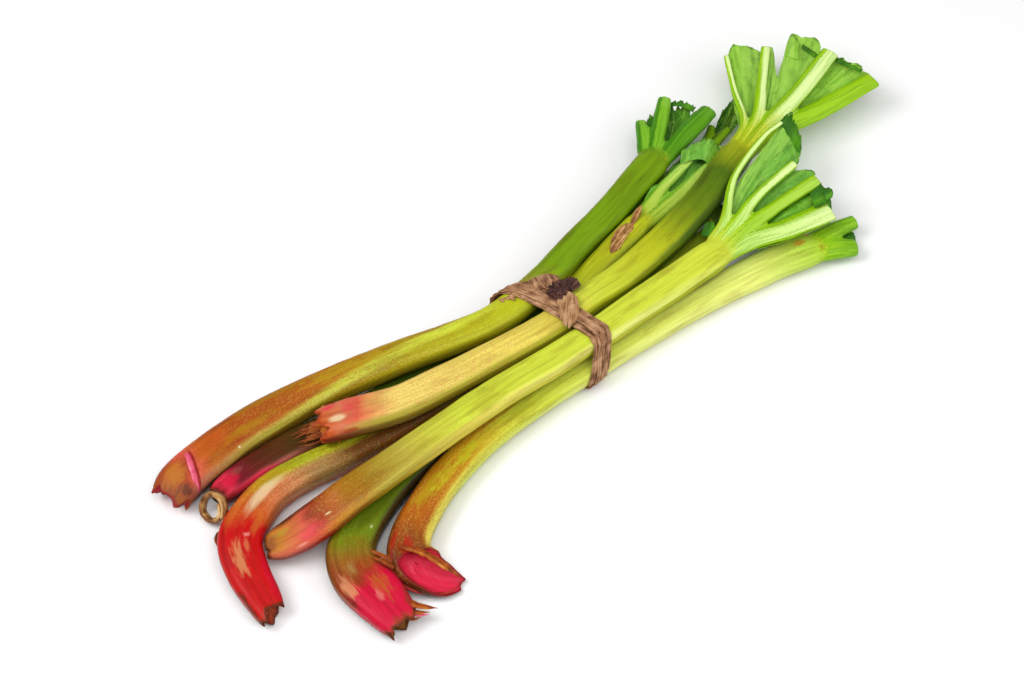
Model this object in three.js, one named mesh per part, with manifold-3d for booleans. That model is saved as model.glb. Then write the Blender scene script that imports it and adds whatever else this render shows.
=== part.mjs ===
// A tied bunch of seven rhubarb stalks, leaves cut short, lying on a flat surface.
// Millimetres, +Z up. The torn bases point to -X and the leaf ends to +X.
// The origin is under the middle of the bunch, on the surface it lies on.
import * as THREE from "three";
import { mergeVertices } from "three/addons/utils/BufferGeometryUtils.js";
import Module from "manifold-3d";

const wasm = await Module();
wasm.setup();

// ---- Driving dimensions -------------------------------------------------------------------
const MIDDLE = [36.3, -11, 0]; // middle of the bunch, in the coordinates of the rows below
const GAP = 0.35; // clear space between neighbouring pieces
const FINEST = 0.04; // slivers finer than this are smoothed away
const FLAT_SHARE = 0.42; // share of a stalk's depth above its centre line, on the flat inner face
const FLAT_POWER = 3.4; // superellipse power of the flat inner face
const ROUND_POWER = 2.25; // superellipse power of the round outer side
const STALK_SIDES = 20; // every second side is the crest of a rib
const STALK_STEP = 13; // length of one step along a stalk
const RIB_RELIEF = 0.022; // height of a rib, as a share of the half width
const VEIN_SIDES = 8;
const BLADE_THICK = 0.9;
const TIE_WIDTH = 10.5;
const TIE_THICK = 1.1;
const TIE_STEPS = 44; // steps round the tie
// Where the tie crosses, along X: over the top it peaks between two stalks and falls back to
// either side, and underneath it runs straight across.
const TIE_OVER = { peak: 38, y: -13, backFall: 0.0195, frontFall: 0.008, height: 32 };
const TIE_UNDER = { x: 25, y: -42, slope: -0.3 };

const SKIN = { green: 0x9fb42a, red: 0xb5202c, blade: 0x4f8f2c, dry: 0x8a6142 };

// Each row of a way is [x, y, z, width, depth, roll in degrees], from the base to the leaf.
const STALKS = {
  stalk_back: {
    colour: SKIN.green,
    way: [
      [-206.5, 33.5, 7, 21.5, 12, 12],
      [-193, 38.5, 9.5, 24.5, 16, 8],
      [-175, 41.4, 10.5, 24.2, 17.5, 4],
      [-146, 43.8, 11, 23.2, 17],
      [-115, 41.2, 12.5, 22.2, 16.5],
      [-85, 35.5, 16, 20.5, 16],
      [-57, 27, 21, 19.5, 15.5],
      [-29, 18, 24.5, 18.5, 15],
      [0, 12.5, 26, 17.8, 15],
      [38, 18, 26, 17.8, 15],
      [64, 25.4, 25.6, 16.9, 15],
      [93, 32.3, 25.2, 17.2, 15],
      [114, 39.3, 24.6, 17.9, 15],
      [135, 46, 24, 19.4, 15],
      [149, 52.7, 23, 19.8, 13],
    ],
    base: { hollow: 22, wall: 0.2, back: 17, at: 25, power: 1.5, ragged: 2.6, seed: 1 },
    veins: [
      { way: [[137, 52, 23, 13, 10], [146.5, 67.5, 22.5, 8.5, 6], [152.5, 76.5, 22, 7, 4]] },
      { way: [[141, 50, 23, 14, 10], [158, 66, 23, 9, 7], [173, 80, 24.5, 8, 5]] },
      { way: [[141, 48, 23, 14, 10], [165, 52, 21, 12, 8], [190.5, 60, 20, 12, 7]] },
    ],
  },
  stalk_curled_end: {
    colour: SKIN.green,
    way: [
      [-183, 18, 11, 12, 9],
      [-174, 21, 8.8, 15.4, 13],
      [-155, 22.8, 8, 16, 13.5],
      [-130, 21.8, 8, 16.8, 14],
      [-98, 17.8, 8.1, 16.6, 14],
      [-66, 15.8, 8.2, 16.4, 13.6],
      [-34, 13.9, 9, 16.2, 14],
      [0, 14, 9.7, 16.2, 14.4],
      [25, 16.5, 9.7, 16, 14.4],
      [45, 22, 9.3, 15.5, 14],
      [75, 29.5, 7.4, 15, 13.5],
      [114, 31, 7.4, 15, 13.5],
      [148, 37.5, 8.8, 15.5, 13.5],
      [172, 43, 10, 16.5, 12],
    ],
    base: { hollow: 0, wall: 0, back: 0, at: 0, power: 1, ragged: 0, seed: 2 },
    veins: [
      { way: [[165, 42, 9.5, 11, 8], [179, 48, 10.5, 8, 6], [189, 55, 12, 5, 3.5]] },
      { way: [[165, 41, 9.5, 11, 8], [182, 44, 11, 7.5, 6], [195, 47, 13, 5, 3.5]] },
    ],
  },
  stalk_red_hook: {
    colour: SKIN.red,
    way: [
      [-199.5, -59, 8.2, 15.5, 12],
      [-198.5, -47.5, 8.8, 19, 15],
      [-195.8, -29, 9.4, 22.5, 17],
      [-189, -12.2, 9.7, 24, 17.5],
      [-175.5, -2.6, 10, 23, 17.5],
      [-159, 3, 10.2, 20.5, 17],
      [-139, 3.5, 10, 19, 16.5],
      [-115, 0, 9.8, 18, 16],
      [-91, -2.5, 9.5, 17, 15.5],
      [-59, -3.5, 9.3, 16.5, 15],
      [-11, -3.5, 9.9, 16.3, 14.8],
      [20, -2, 10.3, 16.2, 14.8],
      [45, 5.5, 14.5, 15.5, 14],
      [60, 8.5, 18, 15, 14],
      [80, 12.5, 21, 15, 14],
      [97, 16, 22.5, 15.5, 14],
      [114, 21, 22.5, 17.5, 13],
    ],
    base: { hollow: 5, wall: 0.3, back: 5, at: 185, power: 1.2, ragged: 2.2, seed: 3 },
    veins: [
      { way: [[106, 20, 22.5, 12, 9], [134, 30, 21.5, 6.5, 5], [157, 37, 22.5, 5.5, 3]] },
      {
        way: [
          [107, 17.5, 21, 12, 9],
          [132, 20, 17, 8.5, 6],
          [157, 23.5, 15.5, 6.5, 5],
          [175, 30, 16, 4, 3.5],
          [182, 36, 15, 3, 2.5],
        ],
      },
    ],
  },
  stalk_top: {
    colour: SKIN.green,
    way: [
      [-120, 13, 26.5, 18.5, 14.5, -4],
      [-104, 8, 26.8, 20.5, 16.5],
      [-77, -0.5, 26.2, 20, 16],
      [-46, -4.5, 26, 19, 15.5],
      [-14, -7.5, 26, 17.5, 15],
      [12, -9, 26, 17, 14.8],
      [30, -9, 26, 17, 14.8],
      [49, -7.5, 25.5, 17, 15],
      [73, -6.8, 25, 18, 15],
      [100, -2.8, 25, 18.8, 15],
      [120, 1.5, 25.5, 18.8, 15],
      [143, 8.2, 25.5, 18.6, 15],
      [164, 16.5, 25.2, 18.5, 15],
      [179, 21.5, 25, 19, 14.5],
      [192, 24, 25, 20, 12],
    ],
    base: { hollow: 7, wall: 0.2, back: 3, at: 90, power: 1, ragged: 2.2, seed: 4 },
    veins: [
      { way: [[180, 26, 25, 12, 9], [196, 36, 26, 5, 5], [207, 58, 28, 4, 3.5], [219, 80, 30, 3.5, 2.5]] },
      { way: [[182, 25, 25, 12, 9], [204, 34, 26, 7.5, 6], [222, 51, 28, 6.5, 5], [242, 71, 30, 6, 3.5]] },
      { way: [[184, 24, 25, 12, 9], [207, 28, 26, 9, 7], [233, 34.5, 28, 9, 6], [270, 46, 30, 8.5, 5]] },
      { way: [[184, 22, 24, 12, 9], [206, 22, 24, 11, 8], [237, 19.2, 24, 13.2, 6], [280, 17.2, 24, 12, 4]] },
    ],
  },
  stalk_centre: {
    colour: SKIN.green,
    way: [
      [-181, -24.6, 10.5, 10.5, 8],
      [-173, -26.6, 12.5, 18, 12],
      [-161, -29.1, 16, 21.4, 14.5],
      [-143, -31, 21.8, 21.2, 15],
      [-129, -31.2, 25.4, 20.4, 15],
      [-97, -30.5, 26.6, 18.6, 15.2],
      [-63, -28.5, 26, 18, 15],
      [-28, -27.5, 26, 17.5, 15],
      [5, -28.5, 26, 17.2, 14.8],
      [29, -28.5, 26, 17, 14.8],
      [44, -28.7, 25.5, 17.5, 15],
      [68, -27.5, 25, 18.3, 15],
      [93, -26.8, 25, 18.8, 15],
      [120, -25.8, 25, 19.4, 14.5],
      [136, -25.2, 25, 19.6, 13],
    ],
    base: { hollow: 16, wall: 0.3, back: 7, at: 50, power: 2, ragged: 1.2, seed: 5 },
    veins: [
      { way: [[127, -22, 25, 12, 8], [142, -10.5, 27, 6, 5], [162, 5, 33.5, 4.5, 4], [191, 15, 37.5, 3.5, 3], [207, 16.5, 39, 3, 2.5]] },
      { way: [[128, -24, 25, 12, 8], [143, -18, 26, 8, 6], [166, -11, 30, 6.5, 5], [196, -8, 34, 6, 4]] },
      { way: [[128, -26, 25, 12, 8], [147, -23, 25, 9, 6], [172, -21.5, 27, 7.5, 5.5], [201, -22.5, 30, 7, 4.5]] },
      { way: [[128, -27, 24.5, 12, 8], [143, -31, 23, 10, 7], [168, -37, 23, 10.5, 6], [196, -42.5, 23, 10.5, 4.5]] },
    ],
  },
  stalk_green_hook: {
    colour: SKIN.green,
    way: [
      [-149.5, -104.5, 8.2, 18, 11],
      [-149.5, -95, 8.8, 24, 14.5],
      [-150.2, -81, 9.6, 28.5, 17],
      [-151.2, -66, 9.9, 28.5, 18],
      [-146, -52.8, 9.9, 26.5, 17.5],
      [-134, -43.8, 9.2, 22.3, 16],
      [-117, -36.5, 8.9, 19.5, 15.2],
      [-97, -30.5, 8.6, 17.5, 14.5],
      [-73, -25.2, 8.4, 16, 14],
      [-46, -20.8, 8.6, 15.4, 14.2],
      [-10, -19.7, 9.7, 15, 14.4],
      [29, -19.5, 9.7, 15, 14.4],
      [70, -18, 8.6, 15.4, 14.2],
      [104, -12.5, 8.6, 16, 14],
      [127, -7.5, 9, 16, 13.5],
      [139, -3, 10, 16, 12],
    ],
    base: { hollow: 6, wall: 0.28, back: 4, at: 200, power: 1.3, ragged: 2.4, seed: 6 },
    veins: [
      { way: [[130, -11, 9.5, 11, 8], [141, -1, 10.5, 7, 5], [144, 8, 12, 5, 3.5]] },
      { way: [[130, -11, 9.5, 11, 8], [145, -7, 10, 7.5, 5], [154, -5, 11, 6, 4]] },
    ],
  },
  stalk_front: {
    colour: SKIN.green,
    way: [
      [-107.8, -100, 7, 16, 8],
      [-114, -94, 8, 21.5, 13],
      [-120.8, -85.4, 9, 24.6, 16],
      [-123.3, -74.6, 9.4, 25, 17],
      [-116, -64.3, 9.8, 21.6, 17],
      [-102.8, -55.8, 10, 20, 16.5],
      [-84, -47, 9.8, 19, 16],
      [-59, -40, 9.5, 17.6, 15.5],
      [-36, -36.8, 9.8, 16.2, 15.2],
      [-8, -35.4, 10, 15.4, 15],
      [22, -35.2, 10, 15.2, 15],
      [40, -35.2, 9.8, 15.2, 15],
      [68, -35.6, 9, 15.6, 15],
      [103, -36.4, 8.2, 16.6, 14.8],
      [130, -38.6, 8.2, 18.4, 14.8],
      [157, -42.4, 8.4, 19.6, 14.6],
      [182, -48.2, 8.6, 20.6, 13],
      [190, -50.5, 8.6, 20.6, 12],
    ],
    base: { hollow: 25, wall: 0.26, back: 20, at: 90, power: 1.6, ragged: 1, seed: 7 },
    veins: [
      { way: [[176, -44, 9, 13, 10], [193, -44.8, 10, 10, 8], [209.5, -48.4, 11, 7.6, 6.5]] },
      { way: [[176, -50, 8.4, 14, 11], [187.5, -55.4, 8, 11, 9], [199, -62.3, 8, 9.4, 7.5]] },
    ],
  },
};

// Dried scraps and the curled ring that grow on a stalk. A sheet is a fan of spokes, each with
// three points from its root to its torn rim.
const DRIED = {
  stalk_top: [
    { spokes: [
      [[-119, 19, 25], [-127, 23, 21], [-133, 26, 18.5]],
      [[-118, 15, 22], [-129, 18, 20.5], [-137, 21, 18]],
      [[-118, 11, 21], [-129, 13, 19.5], [-134, 14, 18.5]],
      [[-117, 7, 21], [-127, 7.5, 19.3], [-131, 8, 18.8]],
      [[-115, 4, 21], [-122, 3.5, 19.3], [-126, 2, 18.8]],
    ], ragged: 1.6, seed: 11 },
  ],
  stalk_red_hook: [
    { spokes: [
      [[88, 17.5, 22], [88, 20.5, 26], [87, 21.2, 28]],
      [[95, 18.5, 22.5], [96, 21.8, 27], [96, 22.2, 29.5]],
      [[103, 20.5, 23], [105, 23.6, 27], [106, 24, 28.5]],
    ], ragged: 1, seed: 12 },
  ],
  stalk_green_hook: [
    { spokes: [
      [[-144, -91, 9], [-137, -95, 9.5], [-130, -99.5, 9]],
      [[-145, -95, 8], [-137, -99.5, 9], [-127.5, -105, 9.5]],
      [[-147, -99, 7], [-141, -101.5, 7], [-136, -103, 6]],
    ], ragged: 1.2, seed: 13 },
    { spokes: [
      [[-144, -52, 13], [-137, -54, 15], [-133, -56, 14]],
      [[-145, -58, 13.5], [-138, -61, 15], [-134, -64, 12.5]],
      [[-145, -64, 12], [-139, -68, 13], [-136, -72, 11]],
    ], ragged: 1.2, seed: 14 },
  ],
};
const RING = { centre: [-188.2, 15, 8.8], faces: [-0.75, -0.1, 0.65], radius: 7.4, band: 5, thick: 3 };

// What is left of each leaf blade, cut short: a pleated sheet behind the veins.
const BLADES = {
  blade_back: { of: "stalk_back", ragged: 2, seed: 21, spokes: [
    [[148, 62, 19.6], [150.5, 69, 19.4], [154, 76, 19.2]],
    [[152.5, 61, 19], [157.5, 69, 18.8], [163.5, 80, 18.8]],
    [[156, 59, 18.4], [164, 67, 18.2], [172.5, 80, 18.4]],
    [[158.5, 56.5, 17.8], [169, 63.5, 17.6], [181, 76, 18.2]],
    [[160.5, 53.5, 17], [173, 58.5, 16.6], [187, 67, 17]],
  ] },
  blade_curled_end: { of: "stalk_curled_end", ragged: 2, seed: 22, spokes: [
    [[183, 49.5, 8.5], [193, 55, 10], [201, 60, 13]],
    [[184, 48, 6.5], [197.5, 55, 8.5], [211, 62.5, 13]],
    [[184.5, 46.8, 9], [200, 54.2, 12], [212.5, 61.5, 16]],
    [[184, 46, 6.5], [200, 52, 9], [214, 58, 14]],
    [[184, 43, 8], [200, 46.5, 10.5], [213, 50, 14]],
  ] },
  blade_red_hook: { of: "stalk_red_hook", ragged: 1.6, seed: 23, spokes: [
    [[124, 30, 20], [138, 36.5, 18.6], [149, 42.5, 18]],
    [[126, 26, 18.5], [142, 31, 17.5], [158, 39, 19]],
    [[128, 24, 19], [148, 30, 18], [166, 44, 18]],
    [[130, 22.5, 18], [153, 28.5, 17], [174, 43, 18]],
    [[131, 21, 15], [158, 26, 14], [181, 39, 17]],
  ] },
  blade_top: { of: "stalk_top", ragged: 1.6, seed: 24, spokes: [
    [[192, 34, 24], [205.5, 58.5, 26], [219, 80, 28]],
    [[195, 34, 23], [212, 57, 24.5], [232, 86, 27]],
    [[200, 32, 20.5], [221.5, 51.5, 22.5], [241, 75.5, 25]],
    [[203, 30, 22.5], [224.5, 48.5, 24], [247.5, 71.5, 26]],
    [[205, 29, 22.5], [224.5, 43.5, 24], [238, 54, 24]],
    [[205, 29, 22], [230.5, 43, 25], [262, 71, 27]],
    [[206, 28, 21.5], [235, 37, 24], [272, 57.5, 27]],
    [[207, 27, 18.5], [234, 33, 21.5], [270, 46, 24.5]],
    [[207, 25, 19.5], [238, 29, 22], [278, 38, 25]],
    [[207, 24, 18.5], [238, 25, 20.5], [283, 27, 23]],
    [[206, 21, 17.5], [237, 20, 18.5], [280, 16, 19.5]],
  ] },
  blade_centre: { of: "stalk_centre", ragged: 1.6, seed: 25, spokes: [
    [[148, -8, 23.5], [164, 3, 29.5], [206, 16, 36]],
    [[148, -9, 23.5], [169, 1.5, 30.5], [216, 20, 38]],
    [[149, -11, 23.5], [172, -1, 30.5], [215, 12, 38]],
    [[149, -13, 23], [172, -5, 29], [205, -4, 33.5]],
    [[150, -16.5, 21], [168, -11, 25], [198, -8.5, 30]],
    [[151, -19, 21.5], [173, -15.5, 25.5], [203, -16, 30]],
    [[151, -23, 19.5], [173, -22, 22], [203, -23, 26]],
    [[151, -27, 20], [173, -28, 23.5], [203, -31, 26]],
    [[149, -31, 17.2], [169, -37, 18], [196, -42, 19.5]],
    [[149, -34, 18], [168, -40.5, 19], [192, -45.5, 20.5]],
  ] },
  blade_green_hook: { of: "stalk_green_hook", ragged: 1.4, seed: 26, spokes: [
    [[142, 2, 9], [145, 6, 11], [148, 11, 12.5]],
    [[146, -1, 8], [150, 3, 10], [155, 7, 12]],
    [[149, -4, 9], [154, -2, 11], [160, 1, 12]],
    [[151, -7.5, 7.5], [157, -7.5, 9], [163, -7, 10.5]],
  ] },
  blade_front: { of: "stalk_front", ragged: 0.5, seed: 27, spokes: [
    [[193, -46.5, 5.2], [200, -48.5, 5.4], [206.5, -50.5, 6]],
    [[190.5, -50, 6.4], [197.5, -53, 6.8], [204, -55.8, 7.2]],
    [[188, -53.5, 4], [194, -57.5, 4], [199.5, -61, 4.2]],
  ] },
};

// The knot of the tie and the torn ends that come out of it.
const KNOT = { centre: [34, 1.5, 34.6], reach: [7, 6, 4] };
const TIE_ENDS = [
  { spokes: [
    [[34, 4, 35], [39, 6, 36], [42.5, 6, 36.5]],
    [[35, 1.5, 36], [41, 2, 37.5], [45, 3, 37]],
    [[36, -1, 35], [41, -1.5, 36], [43.5, -1.5, 35.5]],
  ], ragged: 1, seed: 31 },
  { spokes: [
    [[31, 3, 35.5], [27, -4, 35.5], [21, -14, 33.8]],
    [[34, 1, 36], [30, -8, 36], [24, -19, 33.8]],
    [[38, -1, 35.5], [35, -9, 35.5], [31, -20, 34]],
  ], ragged: 1.2, seed: 32 },
];

// ---- Small vector helpers -----------------------------------------------------------------
const UP = new THREE.Vector3(0, 0, 1);
const radians = (degrees) => (degrees * Math.PI) / 180;
const bulge = (value, power) => Math.sign(value) * Math.abs(value) ** (2 / power);

// A ragged edge: a sum of waves round the edge, between about -1 and 1.
function raggedness(angle, seed) {
  return [3, 5, 8].reduce((sum, wave) => sum + Math.sin(wave * angle + seed * wave * 1.7) / 2.2, 0);
}

// A smooth line through the rows, with the sizes that go with each of its points.
class Way {
  constructor(rows) {
    this.line = new THREE.CatmullRomCurve3(
      rows.map(([x, y, z]) => new THREE.Vector3(x, y, z)), false, "catmullrom", 0.5);
    this.sizes = new THREE.CatmullRomCurve3(
      rows.map(([, , , width, depth, roll = 0]) => new THREE.Vector3(width, depth, roll)),
      false, "catmullrom", 0.5);
    this.line.arcLengthDivisions = 400;
    this.length = this.line.getLength();
  }

  // The centre, the section's side and up directions and its sizes, at a length from the base.
  at(length) {
    const share = THREE.MathUtils.clamp(length / this.length, 0, 1);
    const t = this.line.getUtoTmapping(share);
    const along = this.line.getTangent(t);
    const centre = this.line.getPoint(t).addScaledVector(along, length - share * this.length);
    const size = this.sizes.getPoint(t);
    const side = new THREE.Vector3().crossVectors(UP, along).normalize();
    side.applyAxisAngle(along, radians(size.z));
    const up = new THREE.Vector3().crossVectors(along, side);
    return { centre, side, up, width: size.x, depth: size.y };
  }
}

// A point of the section at an angle: flat inner face above, round ribbed side below.
function sectionPoint(place, angle, scale, relief) {
  const flat = Math.sin(angle) > 0;
  const power = flat ? FLAT_POWER : ROUND_POWER;
  const share = flat ? FLAT_SHARE : 1 - FLAT_SHARE;
  const sideways = bulge(Math.cos(angle), power) * (place.width / 2) * scale * relief;
  const upwards = bulge(Math.sin(angle), power) * place.depth * share * scale * relief;
  return place.centre.clone()
    .addScaledVector(place.side, sideways)
    .addScaledVector(place.up, upwards);
}

// ---- Solids -------------------------------------------------------------------------------
function toManifold(geometry) {
  const bare = new THREE.BufferGeometry();
  bare.setAttribute("position", geometry.getAttribute("position").clone());
  bare.setIndex(geometry.getIndex());
  const merged = mergeVertices(bare, 1e-4);
  return new wasm.Manifold(new wasm.Mesh({
    numProp: 3,
    vertProperties: new Float32Array(merged.getAttribute("position").array),
    triVerts: new Uint32Array(merged.getIndex().array),
  }));
}

function toGeometry(solid) {
  const { numProp, vertProperties, triVerts, numVert } = solid.getMesh();
  const positions = new Float32Array(numVert * 3);
  for (let i = 0; i < numVert; i++) {
    positions.set(vertProperties.subarray(i * numProp, i * numProp + 3), i * 3);
  }
  const geometry = new THREE.BufferGeometry();
  geometry.setAttribute("position", new THREE.BufferAttribute(positions, 3));
  geometry.setIndex(new THREE.BufferAttribute(triVerts, 1));
  geometry.computeVertexNormals();
  return geometry;
}

// A closed skin over a row of rings. The ends are closed with fans, or the last ring joins the
// first when looped is true. Each ring runs anticlockwise about the direction of travel.
function skin(rings, looped = false) {
  const sides = rings[0].length;
  const points = rings.flat();
  const faces = [];
  const last = looped ? rings.length : rings.length - 1;
  for (let i = 0; i < last; i++) {
    const here = i * sides;
    const next = ((i + 1) % rings.length) * sides;
    for (let j = 0; j < sides; j++) {
      const k = (j + 1) % sides;
      faces.push(here + j, here + k, next + k, here + j, next + k, next + j);
    }
  }
  if (!looped) {
    const close = (ring, first, flip) => {
      const middle = points.length;
      points.push(ring.reduce((sum, p) => sum.add(p), new THREE.Vector3()).divideScalar(sides));
      for (let j = 0; j < sides; j++) {
        const k = (j + 1) % sides;
        faces.push(...(flip ? [middle, first + k, first + j] : [middle, first + j, first + k]));
      }
    };
    close(rings[0], 0, true);
    close(rings.at(-1), (rings.length - 1) * sides, false);
  }
  const geometry = new THREE.BufferGeometry().setFromPoints(points);
  geometry.setIndex(faces);
  return toManifold(geometry);
}

// A stalk with a torn base. The inner wall of the open base comes first, from its floor out to
// the rim, and then the outside, from the rim to the rounded leaf end.
function stalkSolid({ way: rows, base }) {
  const way = new Way(rows);
  const blend = 2.4 * (base.back + base.ragged) + 6; // the length over which the cut fades out
  const cutBack = (length, angle) => {
    const facing = (1 + Math.cos(angle - radians(base.at))) / 2;
    const cut = base.back * facing ** base.power + base.ragged * raggedness(angle, base.seed);
    return cut * Math.max(0, 1 - length / blend) ** 2;
  };
  const ring = (length, scale, ribbed) =>
    Array.from({ length: STALK_SIDES }, (_, j) => {
      const angle = (j / STALK_SIDES) * 2 * Math.PI;
      const place = way.at(length + cutBack(length, angle));
      const relief = ribbed && j % 2 && j !== STALK_SIDES / 4 ? 1 - 2 * RIB_RELIEF : 1;
      return sectionPoint(place, angle, scale, relief);
    });
  const rings = [];
  if (base.hollow > 0) {
    const mouth = 1 - base.wall;
    for (const share of [0.95, 0.7, 0.35, 0.05]) {
      rings.push(ring(base.hollow * share, mouth * Math.sqrt(1 - share * share), false));
    }
  }
  const steps = Math.round(way.length / STALK_STEP);
  const rounding = 0.3 * rows.at(-1)[4];
  rings.push(ring(0, base.hollow > 0 ? 0.96 : 0.7, false));
  for (let i = 0; i < steps; i++) {
    rings.push(ring(1 + (i / steps) * (way.length - rounding - 1), 1, true));
  }
  rings.push(ring(way.length - rounding, 0.97, true));
  rings.push(ring(way.length - rounding * 0.3, 0.8, false));
  return skin(rings);
}

// A leaf vein, the thick tapering band that the stalk splits into.
function veinSolid({ way: rows }, swell = 0) {
  const way = new Way(rows.map(([x, y, z, width, depth]) => [x, y, z, width + 2 * swell, depth + 2 * swell]));
  const steps = Math.max(3, Math.round(way.length / (1.3 * STALK_STEP)));
  const ring = (length, scale) =>
    Array.from({ length: VEIN_SIDES }, (_, j) =>
      sectionPoint(way.at(length), ((j + 0.5) / VEIN_SIDES) * 2 * Math.PI, scale, 1));
  const rings = [];
  for (let i = 0; i < steps; i++) rings.push(ring((i / steps) * (way.length - 1.2), 1));
  rings.push(ring(way.length - 1.2, 1), ring(way.length + swell, swell ? 1 : 0.75));
  return skin(rings);
}

// A thin pleated sheet: smooth across its spokes, each spoke smooth from root to ragged rim.
function sheetSolid({ spokes, ragged, seed }, thick = BLADE_THICK) {
  const rows = 5;
  const columns = 2 * (spokes.length - 1);
  const smooth = (points) => new THREE.CatmullRomCurve3(points, false, "catmullrom", 0.5);
  const lines = spokes.map((spoke) => smooth(spoke.map((p) => new THREE.Vector3(...p))));
  const surface = (across, out) => smooth(lines.map((line) => line.getPoint(out))).getPoint(across);
  const place = (i, j) => {
    const across = j / columns;
    const cut = 1 - (ragged * (0.3 + raggedness(across * 9, seed)) * (i / rows) ** 2) / lines[0].getLength();
    return surface(across, (i / rows) * Math.max(0.5, cut));
  };
  const normal = (i, j) => {
    const along = place(Math.min(i + 1, rows), j).sub(place(Math.max(i - 1, 0), j));
    const over = place(i, Math.min(j + 1, columns)).sub(place(i, Math.max(j - 1, 0)));
    return along.cross(over).normalize();
  };
  const points = [];
  for (const face of [-1, 1]) {
    for (let i = 0; i <= rows; i++) {
      for (let j = 0; j <= columns; j++) {
        points.push(place(i, j).addScaledVector(normal(i, j), (face * thick) / 2));
      }
    }
  }
  const width = columns + 1;
  const offset = (rows + 1) * width;
  const faces = [];
  const quad = (a, b, c, d) => faces.push(a, b, c, a, c, d);
  for (let i = 0; i < rows; i++) {
    for (let j = 0; j < columns; j++) {
      const [a, b, c, d] = [i * width + j, i * width + j + 1, (i + 1) * width + j + 1, (i + 1) * width + j];
      faces.push(a, b, c, a, c, d);
      faces.push(offset + a, offset + c, offset + b, offset + a, offset + d, offset + c);
    }
  }
  const rim = [];
  for (let j = 0; j < columns; j++) rim.push(j);
  for (let i = 0; i < rows; i++) rim.push(i * width + columns);
  for (let j = columns; j > 0; j--) rim.push(rows * width + j);
  for (let i = rows; i > 0; i--) rim.push(i * width);
  rim.forEach((a, i) => {
    const b = rim[(i + 1) % rim.length];
    quad(b, a, offset + a, offset + b);
  });
  const geometry = new THREE.BufferGeometry().setFromPoints(points);
  geometry.setIndex(faces);
  return toManifold(geometry);
}

const biggest = (solid) =>
  solid.decompose().reduce((best, body) => (body.volume() > best.volume() ? body : best));

// The dried base of a stalk, curled round into a ring that stands tilted.
function curledRing({ centre, faces, radius, band, thick }) {
  const axis = new THREE.Vector3(...faces).normalize();
  const first = new THREE.Vector3().crossVectors(UP, axis).normalize();
  const second = new THREE.Vector3().crossVectors(axis, first);
  const steps = 20;
  const rings = [];
  for (let i = 0; i < steps; i++) {
    const turn = (i / steps) * 2 * Math.PI;
    const outward = first.clone().multiplyScalar(Math.cos(turn)).addScaledVector(second, Math.sin(turn));
    rings.push(Array.from({ length: 8 }, (_, j) => {
      const angle = (j / 8) * 2 * Math.PI;
      return new THREE.Vector3(...centre)
        .addScaledVector(outward, radius + (Math.cos(angle) * thick) / 2)
        .addScaledVector(axis, (-Math.sin(angle) * band) / 2);
    }));
  }
  return skin(rings, true);
}

// How far along X the tie is at a place on the outside of the bunch.
function tieCrossing({ y, z }) {
  const fall = y > TIE_OVER.y ? TIE_OVER.backFall : TIE_OVER.frontFall;
  const over = TIE_OVER.peak - fall * (y - TIE_OVER.y) ** 2;
  const under = TIE_UNDER.x + TIE_UNDER.slope * (y - TIE_UNDER.y);
  return THREE.MathUtils.lerp(under, over, THREE.MathUtils.smoothstep(z, 0, TIE_OVER.height));
}

// The tie hugs the bunch: at each angle round it, it lies just outside the farthest stalk.
function tieSolid() {
  const touch = [];
  for (const { way: rows } of Object.values(STALKS)) {
    const way = new Way(rows);
    for (let length = 0; length < way.length; length += 2) {
      const place = way.at(length);
      if (Math.abs(place.centre.x - TIE_UNDER.x) > 40) continue;
      for (let j = 0; j < 60; j++) touch.push(sectionPoint(place, (j / 30) * Math.PI, 1, 1));
    }
  }
  const rings = [];
  for (let i = 0; i < TIE_STEPS; i++) {
    const turn = (i / TIE_STEPS) * 2 * Math.PI;
    const outward = new THREE.Vector3(0, Math.cos(turn), Math.sin(turn));
    const farthestNear = (x) => touch
      .filter((p) => Math.abs(p.x - x) < TIE_WIDTH / 2 + 2)
      .reduce((best, p) => (p.dot(outward) > best.dot(outward) ? p : best));
    const x = tieCrossing(farthestNear(TIE_UNDER.x));
    const farthest = farthestNear(x);
    const centre = farthest.clone().setX(x).addScaledVector(outward, GAP + TIE_THICK / 2);
    rings.push(Array.from({ length: 8 }, (_, j) => {
      const angle = ((j + 0.5) / 8) * 2 * Math.PI;
      return centre.clone()
        .add(new THREE.Vector3((bulge(Math.cos(angle), 4) * TIE_WIDTH) / 2, 0, 0))
        .addScaledVector(outward, (bulge(Math.sin(angle), 4) * TIE_THICK) / 2);
    }));
  }
  const knot = new THREE.IcosahedronGeometry(1, 1);
  const lumps = knot.getAttribute("position");
  const point = new THREE.Vector3();
  for (let i = 0; i < lumps.count; i++) {
    point.fromBufferAttribute(lumps, i);
    const lump = 1 + 0.12 * Math.sin(5 * point.x + 3 * point.y) * Math.cos(4 * point.z);
    point.multiplyScalar(lump).multiply(new THREE.Vector3(...KNOT.reach)).add(new THREE.Vector3(...KNOT.centre));
    lumps.setXYZ(i, point.x, point.y, point.z);
  }
  const knotSolid = toManifold(mergeVertices(knot.deleteAttribute("normal").deleteAttribute("uv"), 1e-4));
  return TIE_ENDS.reduce((whole, end) => whole.add(sheetSolid(end)), skin(rings, true).add(knotSolid));
}

// ---- The bunch ----------------------------------------------------------------------------
const bunch = new THREE.Group();
bunch.position.set(-MIDDLE[0], -MIDDLE[1], -MIDDLE[2]);

const floorSlab = toManifold(new THREE.BoxGeometry(800, 400, 40).translate(0, 0, -20));

function addPiece(name, solid, colour) {
  const material = new THREE.MeshStandardMaterial({ color: colour, roughness: 0.5, metalness: 0 });
  const mesh = new THREE.Mesh(toGeometry(solid.subtract(floorSlab).simplify(FINEST)), material);
  mesh.name = name;
  bunch.add(mesh);
}

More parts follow.
